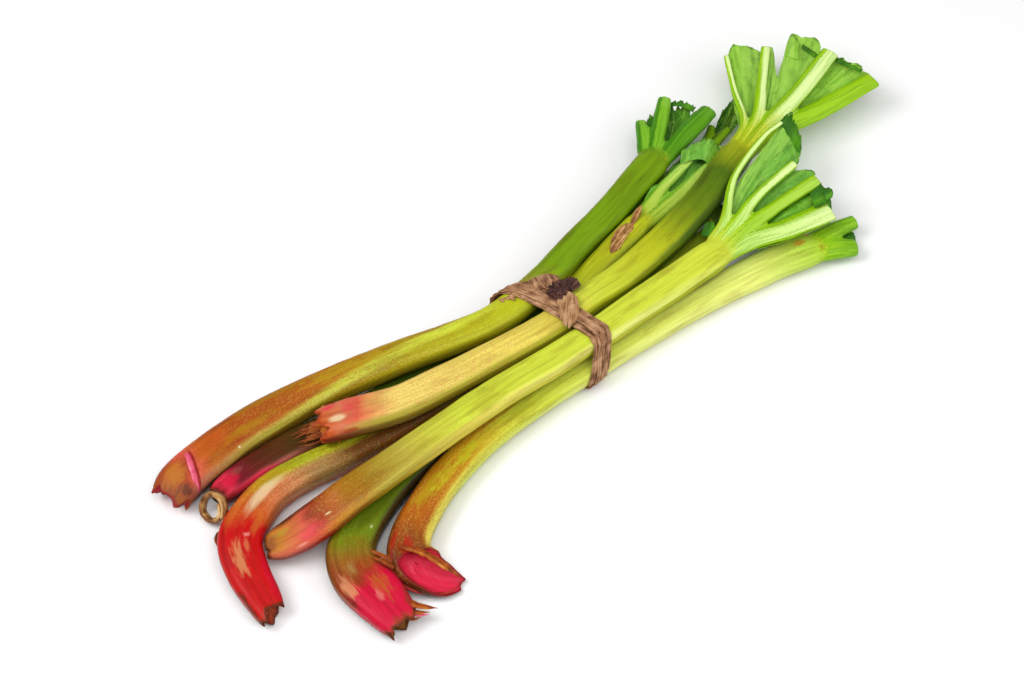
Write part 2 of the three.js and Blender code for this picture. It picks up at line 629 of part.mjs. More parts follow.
for (const [name, stalk] of Object.entries(STALKS)) {
  const grown = [
    ...stalk.veins.map((vein) => veinSolid(vein)),
    ...(DRIED[name] ?? []).map((sheet) => sheetSolid(sheet)),
  ];
  if (name === "stalk_curled_end") grown.push(curledRing(RING));
  addPiece(name, grown.reduce((whole, piece) => whole.add(piece), stalkSolid(stalk)), stalk.colour);
}

for (const [name, blade] of Object.entries(BLADES)) {
  const veins = STALKS[blade.of].veins.map((vein) => veinSolid(vein, GAP));
  const clear = veins.reduce((sheet, vein) => sheet.subtract(vein), sheetSolid(blade));
  addPiece(name, biggest(clear), SKIN.blade);
}

addPiece("tie", tieSolid(), SKIN.dry);

export default bunch;
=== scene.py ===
"""A tied bunch of cut rhubarb stalks, lying on a pale floor in soft studio light.

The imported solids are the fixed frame. Each stalk, leaf fan and the dried tie is grown here as a
finer mesh along the same lines, in the same place, and gets the skin of the real plant.
"""

from __future__ import annotations

import logging
import math
from dataclasses import dataclass, field
from enum import Enum

import bpy
import numpy as np
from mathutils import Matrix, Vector
from mathutils.kdtree import KDTree


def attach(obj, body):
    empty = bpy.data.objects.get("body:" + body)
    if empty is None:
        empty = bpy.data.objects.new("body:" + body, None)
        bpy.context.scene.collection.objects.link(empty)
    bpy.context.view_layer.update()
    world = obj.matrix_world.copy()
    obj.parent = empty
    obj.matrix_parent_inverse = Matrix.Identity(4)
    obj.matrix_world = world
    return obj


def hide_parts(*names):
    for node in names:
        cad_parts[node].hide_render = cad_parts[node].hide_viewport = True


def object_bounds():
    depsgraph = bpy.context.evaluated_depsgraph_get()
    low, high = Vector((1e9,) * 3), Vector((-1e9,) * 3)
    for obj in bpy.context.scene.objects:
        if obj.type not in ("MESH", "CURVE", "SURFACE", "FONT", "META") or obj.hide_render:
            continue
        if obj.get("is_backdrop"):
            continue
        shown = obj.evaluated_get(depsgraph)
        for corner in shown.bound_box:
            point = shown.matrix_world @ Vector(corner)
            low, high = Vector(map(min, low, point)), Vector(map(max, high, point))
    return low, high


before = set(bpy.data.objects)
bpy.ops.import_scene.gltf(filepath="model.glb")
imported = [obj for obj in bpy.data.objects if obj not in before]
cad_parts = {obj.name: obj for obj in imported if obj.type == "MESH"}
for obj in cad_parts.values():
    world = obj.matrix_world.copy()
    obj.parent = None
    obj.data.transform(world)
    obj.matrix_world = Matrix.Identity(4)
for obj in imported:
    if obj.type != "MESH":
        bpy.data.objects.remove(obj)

CAD_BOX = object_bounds()
LOG = logging.getLogger("rhubarb")

MM = 0.001
MIDDLE = np.array([36.3, -11.0, 0.0])  # middle of the bunch, in the coordinates of the rows
UP = np.array([0.0, 0.0, 1.0])
BODY = "root"

# The section of a stalk: a flat inner face above, a round ribbed side below.
FLAT_SHARE = 0.42
FLAT_POWER = 3.4
ROUND_POWER = 2.25

STALK_SIDES = 72  # points in a ring
STALK_STEP = 1.3  # mm between the rings of a stalk
RIB_SIDES = 24
RIB_STEP = 1.3  # mm
LEAF_TAPER = 0.66  # a stalk narrows to this share of itself where its ribs take over
LEAF_TAPER_LENGTH = 17.0  # mm
FAN_LENGTH = 46.0  # mm of the stalk's end that grow together with its ribs
FAN_VOXEL = 0.75  # mm
FAN_OVERLAP = 8.0  # mm that the skin and the fan share
FAN_ROUNDING = 0.7, 30  # how far and how often the skin is softened where the tubes meet
FAN_SOFTENING = 0.25, 5  # and everywhere
BLADE_THICK = 0.5  # mm
FLOOR_GAP = 0.05  # mm, the lowest that a point may lie
RIM_RINGS = (0.0, 0.35, 0.8, 1.4, 2.0, 2.8, 3.8)  # mm from the torn rim, where the rings lie closer
INNER_RINGS = 18  # rings on the inner wall of an open base
END_RINGS = 12  # rings over the rounded leaf end
RIB_ROOT = 15.0  # mm before the stalk's end where its ribs start
RIB_ROOT_DEPTH = 8.0  # mm
RIB_ROOT_SHARE = 1.35  # its width as a share of its part of the stalk
RIB_ROOT_SINK = 1.7  # mm that it lies below the face
RIM_SIZE = 0.01  # share of its size to which the last ring of a tube shrinks
SPOKE_STEPS = 64  # steps along the spokes of a sheet
STRAND_STEP = 0.8  # mm
TIE_SIDES = 60  # places round each stalk where the tie may touch it
TIE_REACH = 40.0  # mm from the tie within which it may touch a stalk
TIE_KERNEL = 9  # steps over which its loop is smoothed
TIE_COLUMNS = 26  # points across each face of its strips
TIE_THICK = 0.5  # mm
KNOT_RINGS, KNOT_SIDES = 60, 84


class Slot(Enum):
    """Names of the material slots."""

    GREEN_SKIN = "green_skin"
    RED_SKIN = "red_skin"
    LEAF_BLADE = "leaf_blade"
    DRIED_LEAF = "dried_leaf"


class Layer(Enum):
    """The coordinates that a mesh carries for its finish."""

    SHARE = "share"  # along 0 to 1, around 0 to 1
    SECTION = "section"  # mm sideways and upwards from the centre line
    LENGTH = "length"  # mm along, and mm from the torn or cut edge
    TORN = "torn"  # 1 on the inside of a torn base or -1 on a rib, and share along the rib


# ---- Curves and noise ---------------------------------------------------------------------
def catmull(points: np.ndarray, t: np.ndarray) -> np.ndarray:
    """Reads a Catmull-Rom line of tension a half.

    Args:
        points: The line's points along the first axis, of any further shape.
        t: Places from 0 to 1, one-dimensional.

    Returns:
        The line's points at those places, along the first axis.
    """
    count = len(points)
    before = np.concatenate([[2 * points[0] - points[1]], points])
    padded = np.concatenate([before, [2 * points[-1] - points[-2]]])
    place = np.clip(t, 0, 1) * (count - 1)
    first = np.minimum(place.astype(int), count - 2)
    w = (place - first).reshape((-1,) + (1,) * (points.ndim - 1))
    p0, p1, p2, p3 = (padded[first + k] for k in range(4))
    t0, t1 = 0.5 * (p2 - p0), 0.5 * (p3 - p1)
    return p1 + t0 * w + (3 * (p2 - p1) - 2 * t0 - t1) * w**2 + (2 * (p1 - p2) + t0 + t1) * w**3


def lattice(cell: np.ndarray, seed: int) -> np.ndarray:
    """Gives each whole-number cell its own value.

    Args:
        cell: Whole numbers, with x, y and z along the last axis.
        seed: Picks another set of values.

    Returns:
        Values from -1 to 1.
    """
    mixed = cell[..., 0] * 374761393 + cell[..., 1] * 668265263 + cell[..., 2] * 1442695041 + seed * 974634777
    mixed = (mixed ^ (mixed >> 13)) * 1274126177
    mixed = mixed ^ (mixed >> 16)
    return (mixed & 0xFFFFFF) / float(0x7FFFFF) - 1.0


def lumps(x: np.ndarray, y: np.ndarray, z: np.ndarray | float = 0.0, seed: int = 0) -> np.ndarray:
    """Smooth noise with lumps about one unit across.

    Args:
        x: First coordinate.
        y: Second coordinate.
        z: Third coordinate.
        seed: Picks another pattern.

    Returns:
        Noise from -1 to 1, in the shape of the coordinates.
    """
    place = np.stack(np.broadcast_arrays(np.asarray(x, float), y, z), axis=-1)
    cell = np.floor(place).astype(np.int64)
    share = place - cell
    share = share * share * (3 - 2 * share)
    total = np.zeros(place.shape[:-1])
    for corner in range(8):
        step = np.array([corner & 1, (corner >> 1) & 1, (corner >> 2) & 1])
        weight = np.prod(np.where(step, share, 1 - share), axis=-1)
        total += weight * lattice(cell + step, seed)
    return total


def raggedness(angle: np.ndarray, seed: float) -> np.ndarray:
    """A torn edge as a sum of waves round it, between about -1 and 1."""
    return sum(np.sin(wave * angle + seed * wave * 1.7) / 2.2 for wave in (3, 5, 8))


def bulge(value: np.ndarray, power: np.ndarray | float) -> np.ndarray:
    """One coordinate of a superellipse."""
    return np.sign(value) * np.abs(value) ** (2 / power)


def smooth(low: float, high: float, value: np.ndarray) -> np.ndarray:
    """Rises softly from 0 at low to 1 at high."""
    share = np.clip((value - low) / (high - low), 0, 1)
    return share * share * (3 - 2 * share)


@dataclass
class Way:
    """A smooth line through rows of x, y, z, width, depth and roll, in mm and degrees."""

    rows: tuple[tuple[float, ...], ...]

    def __post_init__(self) -> None:
        """Measures the line, so that places on it can be asked for by length."""
        table = np.array([tuple(row) + (0.0,) * (6 - len(row)) for row in self.rows], float)
        self.line, self.sizes = table[:, :3], table[:, 3:]
        ticks = np.linspace(0, 1, 401)
        steps = np.linalg.norm(np.diff(catmull(self.line, ticks), axis=0), axis=1)
        self.ticks = ticks
        self.reached = np.concatenate([[0.0], np.cumsum(steps)])
        self.length = float(self.reached[-1])

    def at(self, length: np.ndarray) -> dict[str, np.ndarray]:
        """Reads the line at lengths from its base.

        Args:
            length: Lengths in mm, in any shape.

        Returns:
            The centre, side, up, width and depth at each of them.
        """
        flat = np.asarray(length, float).ravel()
        inside = np.clip(flat, 0, self.length)
        t = np.interp(inside, self.reached, self.ticks)
        near, far = np.clip(t - 1e-4, 0, 1), np.clip(t + 1e-4, 0, 1)
        along = catmull(self.line, far) - catmull(self.line, near)
        along /= np.linalg.norm(along, axis=1, keepdims=True)
        centre = catmull(self.line, t) + along * (flat - inside)[:, None]
        width, depth, roll = catmull(self.sizes, t).T
        side = np.cross(UP, along)
        side /= np.linalg.norm(side, axis=1, keepdims=True)
        turn = np.radians(roll)[:, None]
        side = side * np.cos(turn) + np.cross(along, side) * np.sin(turn)
        up = np.cross(along, side)
        shape = np.shape(length)
        return {
            "centre": centre.reshape(shape + (3,)),
            "side": side.reshape(shape + (3,)),
            "up": up.reshape(shape + (3,)),
            "width": width.reshape(shape),
            "depth": depth.reshape(shape),
        }


@dataclass(frozen=True)
class Section:
    """The outline of a stalk or rib, with its points spaced evenly round it."""

    sides: int
    crest: float = FLAT_POWER  # superellipse power of the upper face

    def around(self) -> tuple[np.ndarray, np.ndarray]:
        """Spaces the points.

        Returns:
            Their angles, and their shares of the way round: 0 to a half over the upper face, and
            the rest round the back.
        """
        fine = np.linspace(0, math.pi, 1441)
        angles, half = [], self.sides // 2
        for turn, power in ((0.0, self.crest), (math.pi, ROUND_POWER)):
            outline = np.stack([bulge(np.cos(fine), power), 0.9 * bulge(np.sin(fine), power)], 1)
            steps = np.concatenate([[0], np.cumsum(np.linalg.norm(np.diff(outline, axis=0), axis=1))])
            places = np.arange(half) / half * steps[-1]
            angles.append(turn + np.interp(places, steps, fine))
        return np.concatenate(angles), np.arange(self.sides) / self.sides

    def offsets(self, angle: np.ndarray, width: np.ndarray,
                depth: np.ndarray) -> tuple[np.ndarray, np.ndarray]:
        """Where the outline is at an angle.

        Args:
            angle: Angles in radians.
            width: Full widths in mm.
            depth: Full depths in mm.

        Returns:
            The distances sideways and upwards from the centre line, in mm.
        """
        upper = np.sin(angle) > 0
        power = np.where(upper, self.crest, ROUND_POWER)
        share = np.where(upper, FLAT_SHARE, 1 - FLAT_SHARE)
        return bulge(np.cos(angle), power) * width / 2, bulge(np.sin(angle), power) * depth * share


# ---- Meshes -------------------------------------------------------------------------------
def linked(name: str, data: bpy.types.ID) -> bpy.types.Object:
    """Makes an object and puts it in the scene.

    Args:
        name: Its name.
        data: The mesh, light or camera that it holds.

    Returns:
        The object.
    """
    holder = bpy.data.objects.new(name, data)
    bpy.context.scene.collection.objects.link(holder)
    return holder


def swept(place: dict[str, np.ndarray], sideways: np.ndarray, upwards: np.ndarray) -> np.ndarray:
    """The points that lie so far to the side of a line and so far above it."""
    return place["centre"] + place["side"] * sideways[..., None] + place["up"] * upwards[..., None]


def closing_ring(ring: np.ndarray) -> np.ndarray:
    """A ring shrunk almost to its own centre, which closes a tube."""
    centre = ring.mean(axis=0, keepdims=True)
    return centre + (ring - centre) * RIM_SIZE


def closed(points: np.ndarray, layers: dict[Layer, np.ndarray]) -> tuple[np.ndarray, dict[Layer, np.ndarray]]:
    """Closes a tube at both ends.

    Args:
        points: Rings of points.
        layers: Their coordinates.

    Returns:
        Both, with one ring more at each end.
    """
    layers = {key: np.concatenate([grid[:1], grid, grid[-1:]]) for key, grid in layers.items()}
    return np.concatenate([closing_ring(points[0])[None], points, closing_ring(points[-1])[None]]), layers


@dataclass
class MeshParts:
    """Grids of points that grow into one mesh, with the coordinates that its finish reads."""

    points: list[np.ndarray] = field(default_factory=list)
    faces: list[np.ndarray] = field(default_factory=list)
    corners: dict[Layer, list[np.ndarray]] = field(
        default_factory=lambda: {layer: [] for layer in Layer})
    finish: list[np.ndarray] = field(default_factory=list)
    count: int = 0

    def grid(self, points: np.ndarray, layers: dict[Layer, np.ndarray], wrap: bool = False,
             loop: bool = False, finish: int = 0, flip: bool = False) -> None:
        """Adds a grid of four-sided faces.

        Args:
            points: Places in mm, rows by columns by 3.
            layers: Coordinates, rows by columns by 2, with one more column where it wraps and one
                more row where it loops.
            wrap: The last column joins the first.
            loop: The last row joins the first.
            finish: Index of the material.
            flip: Turns the faces over.
        """
        rows, columns = points.shape[:2]
        down, over = np.arange(rows if loop else rows - 1), np.arange(columns if wrap else columns - 1)
        i, j = np.repeat(down, len(over)), np.tile(over, len(down))
        cells = [(i, j), (i, j + 1), (i + 1, j + 1), (i + 1, j)]
        if flip:
            cells = cells[::-1]
        self.faces.append(np.stack([self.count + (a % rows) * columns + b % columns for a, b in cells], 1))
        for layer in Layer:
            grid = layers.get(layer)
            self.corners[layer].append(
                np.zeros((len(i) * 4, 2)) if grid is None
                else np.stack([grid[a, b] for a, b in cells], 1).reshape(-1, 2))
        self.finish.append(np.full(len(i), finish))
        self.points.append(points.reshape(-1, 3))
        self.count += rows * columns

    def grow(self, name: str, materials: list[bpy.types.Material]) -> bpy.types.Object:
        """Makes the Blender object.

        Args:
            name: The piece's name.
            materials: Its finishes, in the order of their indexes.

        Returns:
            The object, with smooth faces, in metres.
        """
        mesh = bpy.data.meshes.new(name)
        points = (np.concatenate(self.points) - MIDDLE) * MM
        points[:, 2] = np.maximum(points[:, 2], FLOOR_GAP * MM)
        faces = np.concatenate(self.faces)
        mesh.from_pydata(points.tolist(), [], faces.tolist())
        for layer in Layer:
            values = np.concatenate(self.corners[layer]).astype(np.float32)
            mesh.uv_layers.new(name=layer.value).data.foreach_set("uv", values.ravel())
        mesh.polygons.foreach_set("use_smooth", np.ones(len(faces), bool))
        mesh.polygons.foreach_set("material_index", np.concatenate(self.finish).astype(np.int32))
        for material in materials:
            mesh.materials.append(material)
        mesh.update()
        piece = linked(name, mesh)
        LOG.info("%s: %d faces", name, len(faces))
        return piece


@dataclass
class Fused:
    """Closed tubes grown together into one skin, rounded where they meet."""

    tubes: MeshParts
    centre: np.ndarray  # where the tubes meet
    reach: float = 15.0  # mm around the centre that are rounded most

    def skin(self) -> tuple[np.ndarray, np.ndarray]:
        """Remeshes the tubes.

        Returns:
            The points in mm and the four-sided faces.
        """
        rough = bpy.data.meshes.new("rough")
        points, faces = np.concatenate(self.tubes.points), np.concatenate(self.tubes.faces)
        rough.from_pydata(points.tolist(), [], faces.tolist())
        holder = linked("rough", rough)
        remesh = holder.modifiers.new("voxels", "REMESH")
        remesh.mode, remesh.voxel_size = "VOXEL", FAN_VOXEL
        result = holder.evaluated_get(bpy.context.evaluated_depsgraph_get()).to_mesh()
        points = np.zeros(len(result.vertices) * 3)
        result.vertices.foreach_get("co", points)
        loops = np.zeros(len(result.loops), np.int32)
        result.loops.foreach_get("vertex_index", loops)
        bpy.data.objects.remove(holder)
        bpy.data.meshes.remove(rough)
        return points.reshape(-1, 3), loops.reshape(-1, 4)

    @staticmethod
    def soften(values: np.ndarray, faces: np.ndarray, share: np.ndarray, passes: int) -> np.ndarray:
        """Moves values at the points towards the mean of their neighbours.

        Args:
            values: One row a point.
            faces: Four-sided faces.
            share: How far each point moves at each pass, 0 to 1.
            passes: How many times.

        Returns:
            The softened values.
        """
        size = len(values)
        one, two = np.concatenate([faces[:, [k, (k + 1) % 4]] for k in range(4)]).T
        count = (np.bincount(one, minlength=size) + np.bincount(two, minlength=size))[:, None]
        for _ in range(passes):
            total = np.stack([np.bincount(one, column[two], size) + np.bincount(two, column[one], size)
                              for column in values.T], 1)
            values = values + share[:, None] * (total / np.maximum(count, 1) - values)
        return values

    def add_to(self, parts: MeshParts) -> None:
        """Adds the fused skin to a mesh, with the coordinates of the nearest tube.

        Args:
            parts: The mesh it joins.
        """
        points, faces = self.skin()
        near = np.exp(-((np.linalg.norm(points - self.centre, axis=1) / self.reach) ** 2))
        share, passes = FAN_SOFTENING
        points = self.soften(points, faces, share + 0.4 * near, passes)
        share, passes = FAN_ROUNDING
        points = self.soften(points, faces, share * near, passes)
        source = np.concatenate(self.tubes.points)
        corner_of = np.concatenate(self.tubes.faces).ravel()
        tree = KDTree(len(source))
        for index, point in enumerate(source):
            tree.insert(point, index)
        tree.balance()
        nearest = np.array([tree.find(point)[1] for point in points])
        values = {}
        for layer in Layer:
            table = np.zeros((len(source), 2))
            corners = np.concatenate(self.tubes.corners[layer])
            table[corner_of[::-1]] = corners[::-1]
            values[layer] = table[nearest]
        values[Layer.TORN] = self.soften(values[Layer.TORN], faces, np.full(len(points), 0.8), 40)
        parts.faces.append(faces + parts.count)
        for layer in Layer:
            corners = values[layer][faces]
            if layer is Layer.SHARE:
                around = corners[..., 1]
                wraps = (around.max(1) - around.min(1) > 0.5)[:, None] & (around < 0.5)
                corners[..., 1] = np.where(wraps, around + 1, around)
            parts.corners[layer].append(corners.reshape(-1, 2))
        parts.finish.append(np.zeros(len(faces), int))
        parts.points.append(points)
        parts.count += len(points)


# ---- Finishes -----------------------------------------------------------------------------
SOFT = {"interpolation_type": "SMOOTHSTEP"}
OVER = {"data_type": "RGBA"}
TIMES = {"data_type": "RGBA", "blend_type": "MULTIPLY", 0: 1.0}
COLOUR = 2  # the colour output of a mix
SUBTRACT = {"operation": "SUBTRACT"}
DIVIDE = {"operation": "DIVIDE"}
MULTIPLY = {"operation": "MULTIPLY"}
SCALE_ADD = {"operation": "MULTIPLY_ADD"}


class Tint(Enum):
    """The colours of rhubarb in sRGB hex, and how many freckles a skin has, none to most."""

    WINE = "7c1c2c"
    ROSE = "dc3454"
    DRIED_BLOOD = "480c08"
    GARNET = "8c1c20"
    DUSTY_ROSE = "a85c50"
    RUST_RED = "b02010"
    BRICK = "a84420"
    CHERRY = "c40810"
    CRIMSON = "d01040"
    CORAL = "d8604c"
    SHELL_PINK = "f0b0a0"
    BARK = "602c10"
    CHESTNUT = "7c4018"
    BURNT_ORANGE = "c85c20"
    RUST = "a85414"
    COPPER = "b46818"
    TERRACOTTA = "d07c58"
    UMBER = "744c14"
    TAN_BROWN = "98581c"
    AMBER = "c8842c"
    APRICOT = "d49464"
    DUN = "a88850"
    DARK_OLIVE = "5c4c10"
    OLIVE_GOLD = "a07c14"
    MUSTARD = "b09818"
    GOLD = "c89c20"
    STRAW = "ecd478"
    CREAM = "ece4b8"
    # a near-black brown, laid on the hidden and lower sides of stalks as painted shade
    SOOT = "2c2006"
    MOSS = "70741c"
    OLIVE_LIME = "909c28"
    KHAKI = "bcb048"
    PALE_OLIVE = "a8b01c"
    CITRON = "bcc424"
    HONEY = "e4d860"
    LIME = "d0dc48"
    BOTTLE = "344c04"
    LEAF = "547410"
    FERN = "708c14"
    GRASS = "7ca010"
    PEAR = "a4b830"
    CHARTREUSE = "a0cc10"
    PALE_LIME = "ecf488"
    DEEP_GREEN = "2c6414"
    GREEN = "549414"
    SOFT_GREEN = "68a838"
    BRIGHT_GREEN = "84bc30"
    LIGHT_GREEN = "9ccc54"
    MINT = "c8e878"
    MILKY_GREEN = "e0f4a8"
    FOREST = "1c5408"
    VEIN_GREEN = "b4d860"
    NONE = "181818"
    FEW = "404040"
    SOME = "707070"
    MANY = "a0a0a0"
    MOST = "d0d0d0"


def linear(colour: str) -> tuple[float, float, float, float]:
    """Turns a colour to the linear one that a shader takes.

    Args:
        colour: A tint's name, or an sRGB hex colour.

    Returns:
        Its linear red, green, blue and alpha.
    """
    if colour.upper() in Tint.__members__:
        colour = Tint[colour.upper()].value
    channels = [int(colour[i:i + 2], 16) / 255 for i in (0, 2, 4)]
    red, green, blue = (c / 12.92 if c <= 0.04045 else ((c + 0.055) / 1.055) ** 2.4 for c in channels)
    return red, green, blue, 1.0


class NodeTree:
    """A material and its nodes, added one at a time."""

    def __init__(self, name: str) -> None:
        """Makes the material, still empty.

        Args:
            name: Its name.
        """
        self.material = bpy.data.materials.new(name)
        self.material.use_nodes = True
        self.material.node_tree.nodes.clear()

    def add(self, kind: str, settings: dict, out: int | str = 0) -> bpy.types.NodeSocket | None:
        """Adds a node with its settings and links.

        Args:
            kind: Its Blender type, without the ShaderNode prefix.
            settings: Its properties by name, and its sockets by name or number. A socket takes a
                value, a colour or another node's output. "stops" fill a ramp with pairs of a
                percentage and a colour.
            out: Name or number of the output that is wanted.

        Returns:
            That output, if the node has any.
        """
        node = self.material.node_tree.nodes.new("ShaderNode" + kind)
        for key, value in settings.items():
            if key == "stops":
                stops = [stop.split() for stop in value.split(",")]
                while len(node.color_ramp.elements) < len(stops):
                    node.color_ramp.elements.new(1.0)
                for element, (percent, colour) in zip(node.color_ramp.elements, stops):
                    element.position, element.color = float(percent) / 100, linear(colour)
            elif isinstance(value, bpy.types.NodeSocket):
                self.material.node_tree.links.new(value, node.inputs[key])
            elif isinstance(key, str) and hasattr(node, key):
                setattr(node, key, value)
            else:
                node.inputs[key].default_value = linear(value) if isinstance(value, str) else value
        return node.outputs[out] if node.outputs else None


@dataclass(frozen=True)
class Spot:
    """A scar, bruise or blush on a skin: its place and reach as shares along and around."""

    along: float
    around: float
    reach_along: float
    reach_around: float
    colour: str
    strength: float = 0.8
    rough: float = 0.5  # how ragged its edge is


@dataclass(frozen=True)
class StalkSkin:
    """Rhubarb petiole skin, grown: smooth and waxy, streaked along its strings.

    The wax gives a soft satin gleam, the strings under it show as fine stripes along the stalk,
    and red freckles and pale pores give it the grain of a living skin.
    """

    name: str
    back: str  # the far edge of the flat face, and the round side behind it
    face: str  # the flat inner face
    ridge: str  # the edge between the face and the near side
    # front and under: their darker stops are partly painted shade of the near and lower sides, over the
    # skin's own colour
    front: str  # the near round side
    under: str  # the round side that it lies on
    speckle: str  # how many red freckles, dark is none and white is most
    freckle: str = "brick"
    pore: str = "straw"
    # The ribs' pale crest colours: partly their own paler vein, partly painted highlight.
    rib_crest_and_highlight: str = "0 mint, 100 mint"
    rib_flank: str = "0 grass, 100 bright_green"
    flesh: str = "0 garnet, 100 copper"
    rim: str = "bark"
    spots: tuple[Spot, ...] = ()
    twist: tuple[float, float, float] = (0.1, 0.7, 0.0)  # from, to, and how far its zones turn
    untwist: tuple[float, float] = (0.66, 0.7)  # from where to where they turn back

    # mm along the stalk, mm around it, and detail
    NOISES = {
        "wander": (34.0, 7.0, 3.0), "drift": (16.0, 9.0, 3.0), "strings": (70.0, 1.0, 2.0),
        "bands": (60.0, 3.2, 2.0), "fine": (1.2, 0.8, 2.0), "patches": (20.0, 3.0, 3.0),
        "mottle": (26.0, 6.0, 4.0), "scar": (7.0, 1.6, 5.0), "blush": (11.0, 4.0, 4.0),
        "fibres": (12.0, 1.2, 3.0),
    }

    def turned(self, along: np.ndarray) -> np.ndarray:
        """How far the zones are turned round the stalk at a share along it."""
        start, full, turn = self.twist
        return turn * smooth(start, full, along) * (1 - smooth(*self.untwist, along))

    def material(self) -> bpy.types.Material:
        """Makes the skin's material.

        Returns:
            The material, with its spots, ribs and torn base.
        """
        tree = NodeTree(self.name)
        add = tree.add
        uv = {layer: add("UVMap", {"uv_map": layer.value}) for layer in Layer}
        along, around = (add("SeparateXYZ", {0: uv[Layer.SHARE]}, k) for k in (0, 1))
        side, up = (add("SeparateXYZ", {0: uv[Layer.SECTION]}, k) for k in (0, 1))
        run, edge = (add("SeparateXYZ", {0: uv[Layer.LENGTH]}, k) for k in (0, 1))
        torn, rib_run = (add("SeparateXYZ", {0: uv[Layer.TORN]}, k) for k in (0, 1))
        straight = add("CombineXYZ", {0: run, 1: side, 2: up})
        noise = {}
        for key, (far, near, detail) in self.NOISES.items():
            place = add("Mapping", {"Vector": straight, "Scale": (1 / far, 1 / near, 1 / near)})
            noise[key] = add("TexNoise", {"Vector": place, "Scale": 1.0, "Detail": detail})

        # The colour zones round the stalk, partly the plant's own and partly painted shade on its near and
        # lower sides, wander a little along the stalk.
        wander = add("Math", SUBTRACT | {0: noise["wander"], 1: 0.5})
        drift = add("Math", SUBTRACT | {0: noise["drift"], 1: 0.5})
        far = add("Math", SCALE_ADD | {0: drift, 1: 0.06, 2: along})
        start, full, turned = self.twist
        twist = add("MapRange", SOFT | {0: along, 1: start, 2: full, 3: 0.0, 4: turned})
        back = add("MapRange", SOFT | {0: along, 1: self.untwist[0], 2: self.untwist[1], 3: 1.0, 4: 0.0})
        turn = add("Math", SCALE_ADD | {0: twist, 1: back, 2: around})
        turn = add("Math", SCALE_ADD | {0: wander, 1: 0.07, 2: turn})
        colour = add("ValToRGB", {"Fac": far, "stops": self.back})
        for stops, low, high in ((self.face, 0.055, 0.13), (self.ridge, 0.345, 0.405),
                                 (self.front, 0.44, 0.5), (self.under, 0.62, 0.74), (self.back, 0.88, 0.985)):
            zone = add("ValToRGB", {"Fac": far, "stops": stops})
            share = add("MapRange", SOFT | {0: turn, 1: low, 2: high})
            colour = add("Mix", OVER | {0: share, 6: colour, 7: zone}, COLOUR)

        # Strings about 1 mm apart, broader bands and slow mottles: each one darkens the skin.
        for key, low, high, most, shade in (
                ("strings", 0.58, 0.42, 0.16, "a89848"), ("bands", 0.50, 0.36, 0.22, "a89c58"),
                ("mottle", 0.50, 0.34, 0.28, "b08850")):
            share = add("MapRange", SOFT | {0: noise[key], 1: high, 2: low, 3: most, 4: 0.0})
            darker = add("Mix", TIMES | {6: colour, 7: shade}, COLOUR)
            colour = add("Mix", OVER | {0: share, 6: colour, 7: darker}, COLOUR)

        # Freckles hold the red of the plant, and the pores between them are pale.
        amount = add("SeparateXYZ", {0: add("ValToRGB", {"Fac": far, "stops": self.speckle})})
        patch = add("MapRange", SOFT | {0: noise["patches"], 1: 0.3, 2: 0.62, 3: 0.3, 4: 0.7})
        amount = add("Math", MULTIPLY | {0: amount, 1: patch})
        for low, high, start, end, tint in (
                (0.50, 0.62, 0.0, 1.0, self.freckle), (0.34, 0.46, 0.55, 0.0, self.pore)):
            share = add("MapRange", SOFT | {0: noise["fine"], 1: low, 2: high, 3: start, 4: end})
            share = add("Math", MULTIPLY | {0: share, 1: amount})
            colour = add("Mix", OVER | {0: share, 6: colour, 7: tint}, COLOUR)

        for spot in self.spots:
            colour = self.lay(tree, spot, colour, along, around, noise)

        # The ribs: a pale crest between more saturated flanks, laid on one side of each rib; it is partly the
        # rib's own paler vein and partly a painted highlight.
        rib_far = add("Math", SCALE_ADD | {0: drift, 1: 0.3, 2: rib_run})
        rib_turn = add("Math", SCALE_ADD | {0: wander, 1: 0.12, 2: around})
        rib = add("ValToRGB", {"Fac": rib_far, "stops": self.rib_flank})
        crest = add("ValToRGB", {"Fac": rib_far, "stops": self.rib_crest_and_highlight})
        pale = add("MapRange", SOFT | {0: edge, 1: 50.0, 2: 100.0})
        for low, high, start, end in ((0.15, 0.25, 0.0, 1.0), (0.42, 0.49, 1.0, 0.0)):
            share = add("MapRange", SOFT | {0: rib_turn, 1: low, 2: high, 3: start, 4: end})
            pale = add("Math", MULTIPLY | {0: pale, 1: share})
        crest = add("Mix", OVER | {0: pale, 6: rib, 7: crest}, COLOUR)
        share = add("MapRange", SOFT | {0: noise["strings"], 1: 0.42, 2: 0.62, 3: 0.0, 4: 0.5})
        darker = add("Mix", TIMES | {6: crest, 7: "a0c060"}, COLOUR)
        rib = add("Mix", OVER | {0: share, 6: crest, 7: darker}, COLOUR)
        share = add("MapRange", SOFT | {0: torn, 1: -0.95, 2: -0.05, 3: 1.0, 4: 0.0})
        colour = add("Mix", OVER | {0: share, 6: colour, 7: rib}, COLOUR)

        # The torn base: wet flesh inside, and a rim that has dried brown.
        depth = add("Math", DIVIDE | {0: edge, 1: 22.0})
        flesh = add("ValToRGB", {"Fac": depth, "stops": self.flesh})
        share = add("MapRange", SOFT | {0: noise["fibres"], 1: 0.42, 2: 0.66, 3: 0.0, 4: 0.3})
        darker = add("Mix", TIMES | {6: flesh, 7: "c06068"}, COLOUR)
        flesh = add("Mix", OVER | {0: share, 6: flesh, 7: darker}, COLOUR)
        share = add("MapRange", SOFT | {0: torn, 1: 0.2, 2: 0.8})
        colour = add("Mix", OVER | {0: share, 6: colour, 7: flesh}, COLOUR)
        rim = add("Math", SCALE_ADD | {0: drift, 1: 5.0, 2: edge})
        share = add("MapRange", SOFT | {0: rim, 1: 0.3, 2: 3.0, 3: 0.9, 4: 0.0})
        colour = add("Mix", OVER | {0: share, 6: colour, 7: self.rim}, COLOUR)
        colour = add("Gamma", {"Color": colour, "Gamma": 1.1})

